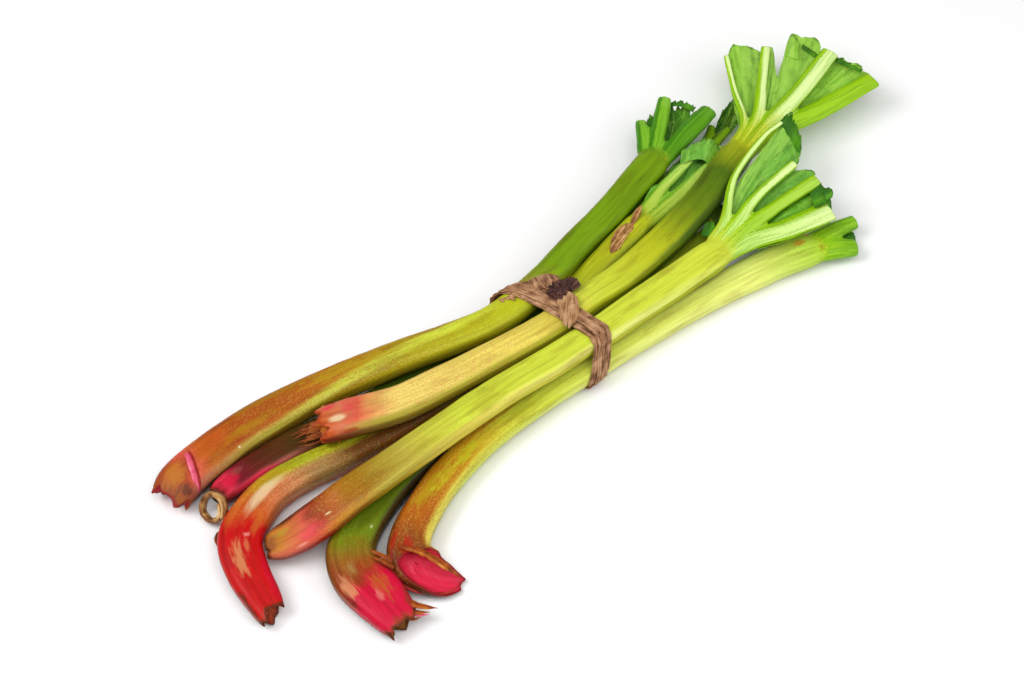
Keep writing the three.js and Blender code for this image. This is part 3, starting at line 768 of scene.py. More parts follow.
        height = add("Math", SCALE_ADD | {0: noise["fine"], 1: 0.25, 2: noise["strings"]})
        bump = add("Bump", {"Height": height, "Strength": 0.4, "Distance": 0.0002})
        gleam = add("MapRange", SOFT | {0: noise["patches"], 1: 0.3, 2: 0.7, 3: 0.34, 4: 0.5})
        add("OutputMaterial", {"Surface": add("BsdfPrincipled", {
            "Base Color": colour, "Roughness": gleam, "Normal": bump,
            "IOR": 1.42, "Specular IOR Level": 0.22,
            "Subsurface Weight": 0.04, "Subsurface Radius": (1.0, 0.6, 0.2), "Subsurface Scale": 0.002,
        })})
        return tree.material

    def lay(self, tree: NodeTree, spot: Spot, colour: bpy.types.NodeSocket, along: bpy.types.NodeSocket,
            around: bpy.types.NodeSocket, noise: dict[str, bpy.types.NodeSocket]) -> bpy.types.NodeSocket:
        """Lays one spot over the colour.

        Args:
            tree: The skin's nodes.
            spot: The spot.
            colour: The colour so far.
            along: Share along the stalk.
            around: Share around the stalk.
            noise: The skin's noises, of which two make the spot ragged and streaky.

        Returns:
            The colour with the spot.
        """
        far = tree.add("Math", SUBTRACT | {0: along, 1: spot.along})
        far = tree.add("Math", DIVIDE | {0: far, 1: spot.reach_along})
        turn = tree.add("Math", SUBTRACT | {0: around, 1: spot.around})
        turn = tree.add("Math", DIVIDE | {0: turn, 1: spot.reach_around})
        place = tree.add("CombineXYZ", {0: far, 1: turn})
        off = tree.add("VectorMath", {"operation": "LENGTH", 0: place}, "Value")
        for key, most in (("blush", 1.8), ("scar", 2.6)):
            off = tree.add("Math", SCALE_ADD | {0: noise[key], 1: most * spot.rough, 2: off})
        middle = 2.2 * spot.rough
        share = tree.add("MapRange", SOFT | {
            0: off, 1: middle + 0.35, 2: middle + 1.15, 3: spot.strength, 4: 0.0})
        return tree.add("Mix", OVER | {0: share, 6: colour, 7: spot.colour}, COLOUR)


@dataclass(frozen=True)
class LeafBlade:
    """Rhubarb leaf blade, grown: thin, matt and netted with pale veins that stand on a dark green.

    The soft net, and the pleats between the ribs painted as dark stripes of shade and pale stripes of
    highlight, give the eye a leaf instead of green paper.
    """

    name: str
    across: str  # colours from the first spoke to the last
    dark: str = "forest"
    vein: str = "vein_green"
    dark_rim: float = 0.7  # how dark the torn rim is

    def material(self) -> bpy.types.Material:
        """Makes the blade's material, or finds it where it was made before.

        Returns:
            The material.
        """
        if self.name in bpy.data.materials:
            return bpy.data.materials[self.name]
        tree = NodeTree(self.name)
        add = tree.add
        section = add("UVMap", {"uv_map": Layer.SECTION.value})
        share = add("SeparateXYZ", {0: add("UVMap", {"uv_map": Layer.SHARE.value})})
        edge = add("SeparateXYZ", {0: add("UVMap", {"uv_map": Layer.LENGTH.value})}, 1)
        slow = add("TexNoise", {"Vector": section, "Scale": 1 / 9, "Detail": 3.0})
        off = add("Math", SUBTRACT | {0: slow, 1: 0.5})
        place = add("Math", SCALE_ADD | {0: off, 1: 0.12, 2: share})
        colour = add("ValToRGB", {"Fac": place, "stops": self.across})
        pleat = add("Mapping", {"Vector": section, "Scale": (1 / 3.2, 1 / 26, 1.0)})
        pleats = add("TexNoise", {"Vector": pleat, "Scale": 1.0, "Detail": 2.0})
        warp = add("TexNoise", {"Vector": section, "Scale": 1 / 5, "Detail": 2.0}, "Color")
        warped = add("VectorMath", SCALE_ADD | {0: warp, 1: (4.0, 4.0, 0.0), 2: section})
        nets = []
        for wide, long in ((5.0, 9.0), (1.6, 2.2)):
            bent = add("Mapping", {"Vector": warped, "Scale": (1 / wide, 1 / long, 1.0)})
            nets.append(add("TexVoronoi", {"Vector": bent, "feature": "DISTANCE_TO_EDGE", "Scale": 1.0}))
        # Slow dark patches; pleat stripes, dark in the troughs as painted shade and pale on the ridges as
        # painted highlight; then the pale net of veins.
        for value, low, high, start, end, tint in (
                (slow, 0.45, 0.75, 0.0, 0.35, self.dark), (pleats, 0.33, 0.50, 0.32, 0.0, self.dark),
                (pleats, 0.52, 0.66, 0.0, 0.3, self.vein), (nets[1], 0.0, 0.14, 0.10, 0.0, self.vein),
                (nets[0], 0.004, 0.03, 0.28, 0.0, self.vein)):
            amount = add("MapRange", SOFT | {0: value, 1: low, 2: high, 3: start, 4: end})
            colour = add("Mix", OVER | {0: amount, 6: colour, 7: tint}, COLOUR)
        rim = add("Math", SCALE_ADD | {0: off, 1: 8.0, 2: edge})
        amount = add("MapRange", SOFT | {0: rim, 1: 0.3, 2: 2.6, 3: self.dark_rim, 4: 0.0})
        colour = add("Mix", OVER | {0: amount, 6: colour, 7: self.dark}, COLOUR)
        shallow = add("Math", {"operation": "MINIMUM", 0: nets[0], 1: 0.1})
        height = add("Math", SCALE_ADD | {0: nets[1], 1: 0.5, 2: shallow})
        bump = add("Bump", {"Height": height, "Strength": 0.5, "Distance": 0.0006})
        add("OutputMaterial", {"Surface": add("BsdfPrincipled", {
            "Base Color": colour, "Normal": bump,
            "IOR": 1.4, "Roughness": 0.55, "Specular IOR Level": 0.2,
            "Subsurface Weight": 0.08, "Subsurface Radius": (0.6, 1.0, 0.2), "Subsurface Scale": 0.0015,
        })})
        return tree.material


@dataclass(frozen=True)
class DriedLeaf:
    """Dried leaf stalk skin, withered: brown, papery and matt, with its strings standing out.

    The fine strings and dark patches give the eye old paper that was once a plant.
    """

    name: str
    colours: str
    spacing: float = 0.8  # mm between strings
    roughness: float = 0.78
    relief: float = 0.5

    def material(self) -> bpy.types.Material:
        """Makes the dried leaf's material.

        Returns:
            The material, with its strings standing out.
        """
        tree = NodeTree(self.name)
        add = tree.add
        section = add("UVMap", {"uv_map": Layer.SECTION.value})
        scale = (1 / self.spacing, 1 / (26 * self.spacing), 1.0)
        stretched = add("Mapping", {"Vector": section, "Scale": scale})
        strings = add("TexNoise", {"Vector": stretched, "Scale": 1.0, "Detail": 3.0, "Roughness": 0.6})
        patches = add("TexNoise", {"Vector": section, "Scale": 1 / 7, "Detail": 4.0})
        off = add("Math", SUBTRACT | {0: patches, 1: 0.5})
        place = add("Math", SCALE_ADD | {0: off, 1: 0.9, 2: strings})
        place = add("MapRange", SOFT | {0: place, 1: 0.18, 2: 0.82})
        colour = add("ValToRGB", {"Fac": place, "stops": self.colours})
        bump = add("Bump", {"Height": strings, "Strength": self.relief, "Distance": 0.0004})
        add("OutputMaterial", {"Surface": add("BsdfPrincipled", {
            "Base Color": colour, "Normal": bump,
            "IOR": 1.45, "Roughness": self.roughness, "Specular IOR Level": 0.25,
        })})
        return tree.material


# ---- Stalks -------------------------------------------------------------------------------
@dataclass(frozen=True)
class TornBase:
    """How a stalk's base was torn from the crown, in mm and degrees."""

    hollow: float  # depth of the open mouth
    wall: float  # share of the section that its wall takes up
    back: float  # how far the rim draws back
    at: float  # on which side it does so
    power: float  # higher draws back a narrower part
    ragged: float
    seed: int


@dataclass
class Rib:
    """One of the veins that a stalk splits into: rows of x, y, z, width and depth after its root."""

    rows: tuple[tuple[float, ...], ...]
    crest: float = 1.7  # lower is sharper
    # How pale its crest is; that pale crest is partly painted highlight.
    pale: float = 1.0  # how pale its crest is

    def add_to(self, parts: MeshParts, roots: tuple[tuple[float, ...], ...], start: float) -> None:
        """Adds the rib to its stalk's tubes.

        Args:
            parts: The tubes.
            roots: Rows before the rib's own, which lie in the stalk.
            start: Length of the whole stalk, in mm.
        """
        way = Way(roots + self.rows)
        tip = [way.length - 1.0, way.length - 0.4, way.length]
        section = Section(RIB_SIDES, self.crest)
        angle, around = section.around()
        length = np.append(np.arange(0, way.length - 1.2, RIB_STEP), tip)
        place = way.at(np.repeat(length[:, None], RIB_SIDES, 1))
        sideways, upwards = section.offsets(angle[None, :], place["width"], place["depth"])
        scale = np.interp(length, [0, 8] + tip, [0.7, 1, 1, 0.98, 0.9])[:, None]
        wobble = 0.4 * lumps(around[None, :] * 3, length[:, None] / 9, seed=7)
        scale = scale * (1 + wobble / place["width"])
        sideways, upwards = sideways * scale, upwards * scale
        pale = 50 + 50 * self.pale + 0 * length
        layers = tube_layers(start + length, start, sideways, upwards, pale, -1.0)
        layers[Layer.SHARE][..., 0] = 1.0
        layers[Layer.TORN][..., 1] = (length / way.length)[:, None]
        parts.grid(*closed(swept(place, sideways, upwards), layers), wrap=True)


def spread(values: np.ndarray | float, rings: int, sides: int) -> np.ndarray:
    """Lays values over every point of a tube.

    Args:
        values: One value, or one per ring or per point.
        rings: Rings in the tube.
        sides: Points in a ring.

    Returns:
        The values, rings by sides, with the first column once more at the end.
    """
    column = np.reshape(values, (-1, 1)) if np.ndim(values) == 1 else values
    grid = np.broadcast_to(np.asarray(column, float), (rings, sides))
    return np.concatenate([grid, grid[:, :1]], axis=1)


def tube_layers(length: np.ndarray, whole: float, sideways: np.ndarray, upwards: np.ndarray,
                edge: np.ndarray, inside: np.ndarray | float = 0.0) -> dict[Layer, np.ndarray]:
    """Coordinates of a tube for its finish.

    Args:
        length: Length from the base, per ring or per point, in mm.
        whole: The way's whole length, in mm.
        sideways: Per point, in mm.
        upwards: Per point, in mm.
        edge: Distance from the torn or cut edge, per ring, in mm.
        inside: 1 on the inside of a hollow, per ring.

    Returns:
        The layers, each with one more column than the tube has.
    """
    rings, sides = sideways.shape
    length = spread(length, rings, sides)
    around = np.broadcast_to(np.arange(sides + 1) / sides, (rings, sides + 1))
    return {
        Layer.SHARE: np.stack([length / whole, around], -1),
        Layer.SECTION: np.stack([spread(sideways, rings, sides), spread(upwards, rings, sides)], -1),
        Layer.LENGTH: np.stack([length, spread(edge, rings, sides)], -1),
        Layer.TORN: np.stack([spread(inside, rings, sides), np.zeros((rings, sides + 1))], -1),
    }


@dataclass
class Stalk:
    """A rhubarb stalk: its way, its torn base, and the ribs that it splits into."""

    name: str
    rows: tuple[tuple[float, ...], ...]
    base: TornBase
    ribs: tuple[Rib, ...]
    skin: StalkSkin
    slot: Slot = Slot.GREEN_SKIN

    def cut_back(self, length: np.ndarray, angle: np.ndarray) -> np.ndarray:
        """How far the torn rim draws back at an angle, fading out along the stalk.

        Args:
            length: Lengths from the base in mm, one a ring.
            angle: Angles in radians, one a column.

        Returns:
            Distances in mm, rings by sides.
        """
        base = self.base
        blend = 2.4 * (base.back + base.ragged) + 6
        facing = (1 + np.cos(angle - math.radians(base.at))) / 2
        cut = base.back * facing**base.power + base.ragged * raggedness(angle, base.seed)
        fine = 0.22 * base.ragged * lumps(angle * 7, 0 * angle, seed=base.seed)
        return cut * np.clip(1 - length / blend, 0, 1) ** 2 + fine * np.clip(1 - length / 7, 0, 1)

    def relief(self, length: np.ndarray, around: np.ndarray, sideways: np.ndarray,
               upwards: np.ndarray) -> np.ndarray:
        """How far the skin stands out: strings round the back, a shallow channel along the face, a
        raised edge on each side of it, and slow lumps that grow towards the base.

        Args:
            length: Lengths from the base, in mm.
            around: Shares of the way round.
            sideways: Distances sideways from the centre line, in mm.
            upwards: Distances upwards from it, in mm.

        Returns:
            Heights in mm, one a point.
        """
        seed = self.base.seed
        around = (around + self.skin.turned(length / Way(self.rows).length)) % 1.0
        back = smooth(0.50, 0.56, around) * smooth(1.0, 0.94, around)
        bend = 1.5 * lumps(around * 5, length / 90, seed=seed)
        strings = back * (0.10 * np.sin(around * 2 * math.pi * 44 + bend)
                          + 0.08 * lumps(around * 60, length / 50, seed=seed + 40))
        lines = (1 - back) * 0.06 * lumps(around * 64, length / 70, seed=seed + 20)
        channel = -0.45 * np.clip(1 - ((around - 0.25) / 0.15) ** 2, 0, 1)
        far, near = (np.exp(-(((around - middle) / 0.02) ** 2)) for middle in (0.055, 0.445))
        edges = 0.22 * (far + near)
        slow = lumps(length / 17, sideways / 9, upwards / 9, seed=seed + 60)
        fine = lumps(length / 5, sideways / 4, upwards / 4, seed=seed + 80)
        swell = 1 + 1.6 * np.exp(-length / 22)
        return strings + lines + channel + edges + 0.24 * slow * swell + 0.06 * fine * swell

    def outside(self) -> tuple[np.ndarray, dict[Layer, np.ndarray]]:
        """The long skin up to the fan, with the inner wall of an open base before it.

        Returns:
            The rings of points, and their coordinates.
        """
        way = Way(self.rows)
        last = way.length - FAN_LENGTH + FAN_OVERLAP
        length = np.concatenate([RIM_RINGS, np.arange(5, last - 1, STALK_STEP), [last]])
        scale = np.interp(length, [0, RIM_RINGS[2], RIM_RINGS[-1], last - FAN_OVERLAP, last],
                          [0.95 if self.base.hollow else 0.7, 0.985, 1, 1, 0.98])
        inside, edge = np.zeros(len(length)), length.copy()
        if self.base.hollow:
            share = np.linspace(0.99, 0, INNER_RINGS)
            depth = self.base.hollow * share
            mouth = 1 - self.base.wall
            flare = mouth + (0.88 - mouth) * np.exp(-share * self.base.hollow / 3.0)
            length, edge = np.append(depth, length), np.append(depth, edge)
            scale = np.append(flare * np.sqrt(1 - share**2), scale)
            inside = np.append(1 + 0 * share, inside)
        return self.rings(way, length, scale, inside, edge)

    def end(self) -> tuple[np.ndarray, dict[Layer, np.ndarray]]:
        """The stalk's leaf end, which grows together with its ribs.

        Returns:
            The rings of points, and their coordinates.
        """
        way = Way(self.rows)
        rounding = 0.6 * self.rows[-1][4]
        first, last = way.length - FAN_LENGTH, way.length - rounding
        turns = np.linspace(0.06, 1, END_RINGS) * math.pi / 2
        length = np.append(np.arange(first, last, STALK_STEP), last + np.sin(turns) * rounding)
        scale = np.append(np.ones(len(length) - END_RINGS), 0.3 + 0.7 * np.cos(turns))
        taper = smooth(way.length - LEAF_TAPER_LENGTH, way.length, length)
        scale = scale * (1 - (1 - LEAF_TAPER) * taper)
        scale = scale * np.interp(length, [first, first + FAN_OVERLAP], [0.97, 1])
        return self.rings(way, length, scale, 0 * length, 100 + 0 * length)

    def rings(self, way: Way, length: np.ndarray, scale: np.ndarray, inside: np.ndarray,
              edge: np.ndarray) -> tuple[np.ndarray, dict[Layer, np.ndarray]]:
        """Rings along the stalk, closed at both ends.

        Args:
            way: The stalk's line.
            length: Length of each ring from the base, in mm.
            scale: Size of each ring as a share of the stalk's.
            inside: 1 for rings on the inner wall of the base.
            edge: Distance of each ring from the torn rim, in mm.

        Returns:
            The rings of points, and their coordinates.
        """
        section = Section(STALK_SIDES)
        angle, around = section.around()
        reached = length[:, None] + self.cut_back(length[:, None], angle[None, :])
        place = way.at(reached)
        sideways, upwards = section.offsets(angle[None, :], place["width"], place["depth"])
        radius = np.hypot(sideways, upwards) + 1e-6
        relief = self.relief(reached, around[None, :], sideways, upwards)
        wall = 0.45 * lumps(around[None, :] * 22, reached / 8, seed=self.base.seed + 5)
        stand = np.where(inside[:, None] > 0, wall, relief * smooth(0, 3, edge)[:, None])
        factor = scale[:, None] * (1 + stand / radius)
        sideways, upwards = sideways * factor, upwards * factor
        layers = tube_layers(reached, way.length, sideways, upwards, edge, inside)
        return closed(swept(place, sideways, upwards), layers)

    def rib_root(self, rib: Rib) -> tuple[tuple[float, ...], ...]:
        """Where a rib starts in the stalk, side by side with the others.

        Args:
            rib: The rib.

        Returns:
            One row of x, y, z, width and depth.
        """
        way = Way(self.rows)
        end = way.at(np.array([way.length]))
        middle, side = end["centre"][0], end["side"][0]
        lean = [float((np.array(r.rows[0][:3]) - middle) @ side) for r in self.ribs]
        order = sorted(range(len(self.ribs)), key=lean.__getitem__).index(self.ribs.index(rib))
        count = len(self.ribs)
        place = way.at(np.array([way.length - RIB_ROOT]))
        width = place["width"][0] / count * RIB_ROOT_SHARE
        off = ((order + 0.5) / count - 0.5) * (place["width"][0] - 0.7 * width)
        lift = FLAT_SHARE * (place["depth"][0] - RIB_ROOT_DEPTH) - RIB_ROOT_SINK
        centre = place["centre"][0] + place["side"][0] * off + place["up"][0] * lift
        return (tuple(float(value) for value in centre) + (float(width), RIB_ROOT_DEPTH),)

    def build(self) -> list[bpy.types.Object]:
        """Grows the stalk's skin and the fan of its ribs, and dresses them.

        Returns:
            Both pieces.
        """
        skin, tubes, fan = MeshParts(), MeshParts(), MeshParts()
        way = Way(self.rows)
        points, layers = self.outside()
        skin.grid(points, layers, wrap=True)
        finish = self.skin.material()
        outer = skin.grow(self.name + "_skin", [finish])
        points, layers = self.end()
        tubes.grid(points, layers, wrap=True)
        for rib in self.ribs:
            rib.add_to(tubes, self.rib_root(rib), way.length)
        neck = way.at(np.array([way.length - 2.0]))["centre"][0]
        Fused(tubes, neck).add_to(fan)
        end = fan.grow(self.name + "_fan", [finish])
        for piece in (outer, end):
            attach(piece, BODY)
        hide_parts(self.name)
        return [outer, end]


# ---- Sheets: leaf blades and dried scraps -------------------------------------------------
@dataclass
class Sheet:
    """A thin torn sheet over a fan of spokes, each with three points from its root to its rim."""

    spokes: tuple[tuple[float, ...], ...]  # x, y and z of the three points, in mm
    ragged: float
    seed: int
    thick: float = BLADE_THICK
    crinkle: float = 0.55
    spacing: float = 8.0
    finish: int = 0
    step: float = 1.1

    def table(self) -> np.ndarray:
        """The spokes by their points by 3."""
        return np.array(self.spokes, float).reshape(-1, 3, 3)

    def surface(self, across: np.ndarray, out: np.ndarray) -> np.ndarray:
        """The sheet's middle surface.

        Args:
            across: Places over the spokes, 0 to 1.
            out: Places along the spokes for each place across, out by across, 0 to 1.

        Returns:
            Points, out by across by 3.
        """
        ticks = np.linspace(0, 1, SPOKE_STEPS + 1)
        lines = catmull(np.swapaxes(self.table(), 0, 1), ticks)  # ticks, spokes, 3
        fan = np.swapaxes(catmull(np.swapaxes(lines, 0, 1), across), 0, 1)  # ticks, across, 3
        place = out * SPOKE_STEPS
        first = np.minimum(place.astype(int), SPOKE_STEPS - 1)
        share = (place - first)[..., None]
        column = np.arange(len(across))[None, :]
        return fan[first, column] * (1 - share) + fan[first + 1, column] * share

    def add_to(self, parts: MeshParts) -> None:
        """Adds the crinkled sheet, with both its faces and its torn rim.

        Args:
            parts: The mesh it joins.
        """
        table = self.table()
        reach = np.linalg.norm(table[:, -1] - table[:, 0], axis=1).max()
        width = np.linalg.norm(np.diff(table[:, -1], axis=0), axis=1).sum()
        rows, columns = max(10, int(reach / self.step)), max(10, int(width / self.step))
        across = np.linspace(0, 1, columns + 1)
        out = np.repeat(np.linspace(0, 1, rows + 1)[:, None], columns + 1, 1)
        root = np.linalg.norm(np.diff(table[0], axis=0), axis=1).sum()
        torn = self.ragged * (0.3 + raggedness(across * 9, self.seed))
        torn = torn + 0.55 * self.ragged * np.abs(lumps(across * width / 2.2, 0 * across, seed=self.seed))
        out = np.clip(out * np.clip(1 - torn[None, :] * out**2 / root, 0.5, 1.05), 0, 1)
        middle = self.surface(across, out)
        along, over = np.gradient(middle, axis=0), np.gradient(middle, axis=1)
        normal = np.cross(along, over)
        normal /= np.linalg.norm(normal, axis=2, keepdims=True) + 1e-9
        a, b = across[None, :] * width, out * reach
        waves = 1.2 * lumps(a / (0.6 * self.spacing), b / (2.4 * self.spacing), seed=self.seed)
        waves = waves + 0.5 * lumps(a / (0.4 * self.spacing), b / (0.5 * self.spacing), seed=self.seed + 3)
        waves = waves + 0.25 * lumps(a / (0.2 * self.spacing), b / (0.25 * self.spacing), seed=self.seed + 5)
        middle = middle + normal * (self.crinkle * waves * smooth(0, 0.25, out))[..., None]
        faces = [middle + normal * (side * self.thick / 2) for side in (-1, 1)]
        shape = (rows + 1, columns + 1)
        layers = {
            Layer.SHARE: np.stack([np.broadcast_to(across, shape), out], -1),
            Layer.SECTION: np.stack([a + 0 * out, b], -1),
            Layer.LENGTH: np.stack([b, (1 - out) * reach], -1),
        }
        parts.grid(faces[0], layers, finish=self.finish)
        parts.grid(faces[1], layers, finish=self.finish, flip=True)
        border = [(0, j) for j in range(columns)] + [(i, columns) for i in range(rows)]
        border += [(rows, j) for j in range(columns, 0, -1)] + [(i, 0) for i in range(rows, 0, -1)]
        i, j = np.array(border).T
        rim = np.stack([faces[0][i, j], faces[1][i, j]])
        loop = np.append(np.arange(len(i)), 0)
        parts.grid(rim, {layer: np.stack([grid[i, j][loop]] * 2) for layer, grid in layers.items()},
                   wrap=True, finish=self.finish, flip=True)


@dataclass
class Strand:
    """A torn strand or lip of skin: a flattened tube that tapers to its tip."""

    rows: tuple[tuple[float, ...], ...]
    finish: int = 0
    blunt: float = 0.25  # size of the tip, as a share
    sides: int = 14

    def add_to(self, parts: MeshParts) -> None:
        """Adds the strand.

        Args:
            parts: The mesh it joins.
        """
        way = Way(self.rows)
        section = Section(self.sides, 2.0)
        angle, around = section.around()
        length = np.linspace(0, way.length, max(10, int(way.length / STRAND_STEP)))
        place = way.at(np.repeat(length[:, None], self.sides, 1))
        sideways, upwards = section.offsets(angle[None, :], place["width"], place["depth"])
        wobble = 1 + 0.16 * lumps(around[None, :] * 4, length[:, None] / 2.6, seed=int(10 * way.length))
        taper = np.interp(length / way.length, [0, 0.1, 0.75, 1], [0.5, 1, 0.9, self.blunt])
        scale = taper[:, None] * wobble
        sideways, upwards = sideways * scale, upwards * scale
        layers = tube_layers(length, way.length, sideways, upwards, way.length - length)
        layers[Layer.SECTION] = np.stack([layers[Layer.SECTION][..., 0], layers[Layer.LENGTH][..., 0]], -1)
        parts.grid(*closed(swept(place, sideways, upwards), layers), wrap=True, finish=self.finish)


@dataclass
class Tuft:
    """A fringe of fine strands between a line of roots and a line of tips."""

    roots: tuple[tuple[float, float, float], tuple[float, float, float]]
    tips: tuple[tuple[float, float, float], tuple[float, float, float]]
    count: int
    width: float
    seed: int
    finish: int = 0
    stray: float = 3.0  # mm that a tip strays

    def add_to(self, parts: MeshParts) -> None:
        """Adds the strands.

        Args:
            parts: The mesh they join.
        """
        roots, tips = np.array(self.roots), np.array(self.tips)
        for index in range(self.count):
            share = index / (self.count - 1)
            draw = lattice(np.array([[index, k, 0] for k in range(6)]), self.seed)
            root = roots[0] + (roots[1] - roots[0]) * share
            tip = tips[0] + (tips[1] - tips[0]) * share + draw[:3] * self.stray * np.array([1, 1, 0.3])
            middle = (root + tip) / 2 + np.array([draw[3], draw[4], 0.8 + draw[5] * 0.3]) * 0.5 * self.stray
            width = self.width * (1 + 0.4 * draw[4])
            rows = tuple(tuple(point) + (width * size, 0.8)
                         for point, size in ((root, 1), (middle, 1), (tip, 0.5)))
            Strand(rows, self.finish, 0.2, 10).add_to(parts)


@dataclass
class LeafFan:
    """What is left of a leaf blade between the ribs."""

    name: str
    sheets: tuple[Sheet, ...]
    blade: LeafBlade
    edge: LeafBlade = LeafBlade(
        "leaf_blade_curled_edge", "0 deep_green, 40 deep_green, 70 green, 100 deep_green",
        "bottle", "green", 0.3)

    def build(self) -> list[bpy.types.Object]:
        """Grows the blade's sheets as one piece and dresses it.

        Returns:
            The piece.
        """
        parts = MeshParts()
        for sheet in self.sheets:
            sheet.add_to(parts)
        piece = parts.grow(self.name + "_sheet", [self.blade.material(), self.edge.material()])
        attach(piece, BODY)
        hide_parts(self.name)
        return [piece]


@dataclass
class DriedScraps:
    """Withered bits that still hang on the stalks: torn sheets, and one base curled into a ring."""

    sheets: tuple[Sheet | Strand | Tuft, ...]
    finishes: tuple[DriedLeaf, ...]  # a sheet or strand names its own by number, the ring has the last
    ring_centre: tuple[float, float, float] = (-188.2, 15.0, 8.8)
    ring_axis: tuple[float, float, float] = (-0.75, -0.1, 0.65)
    ring_radius: float = 7.4
    ring_band: float = 5.6
    ring_turns: float = 1.18

    def curl(self, parts: MeshParts) -> None:
        """Adds the curled ring: a band that winds a little more than once round.

        Args:
            parts: The mesh it joins.
        """
        axis = np.array(self.ring_axis) / np.linalg.norm(self.ring_axis)
        first = np.cross(UP, axis)
        first /= np.linalg.norm(first)
        second = np.cross(axis, first)
        steps, sides = 150, 28
        turn = np.linspace(0, self.ring_turns * 2 * math.pi, steps)[:, None]
        angle = np.linspace(0, 2 * math.pi, sides, endpoint=False)[None, :]
        radius = self.ring_radius + 0.7 - 2.6 * (turn / turn.max()) ** 1.5
        radius = radius + 0.35 * lumps(turn * 2.2, 0 * turn, seed=3)
        outward = np.cos(turn)[..., None] * first + np.sin(turn)[..., None] * second
        across = np.sin(angle) * (self.ring_band / 2 + 0.3 * lumps(turn * 2, np.sign(np.sin(angle)), seed=9))
        out = np.cos(angle) * 1.5 + 0.12 * lumps(turn * 3, angle, seed=5) - 0.12 * across**2 / self.ring_band
        points = np.array(self.ring_centre) + outward * (radius + out)[..., None]
        points = points + across[..., None] * -axis
        layers = tube_layers(turn[:, 0] * self.ring_radius, 60.0, across + 0 * out, out, turn[:, 0])
        layers[Layer.SECTION] = np.stack([layers[Layer.SECTION][..., 0], layers[Layer.LENGTH][..., 0]], -1)
        parts.grid(*closed(points, layers), wrap=True, finish=len(self.finishes) - 1)

    def build(self) -> list[bpy.types.Object]:
        """Grows the scraps and the ring as one piece and dresses it.

        Returns:
            The piece.
        """
        parts = MeshParts()
        for sheet in self.sheets:
            sheet.add_to(parts)
        self.curl(parts)
        piece = parts.grow("dried_scraps", [finish.material() for finish in self.finishes])
        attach(piece, BODY)
        return [piece]


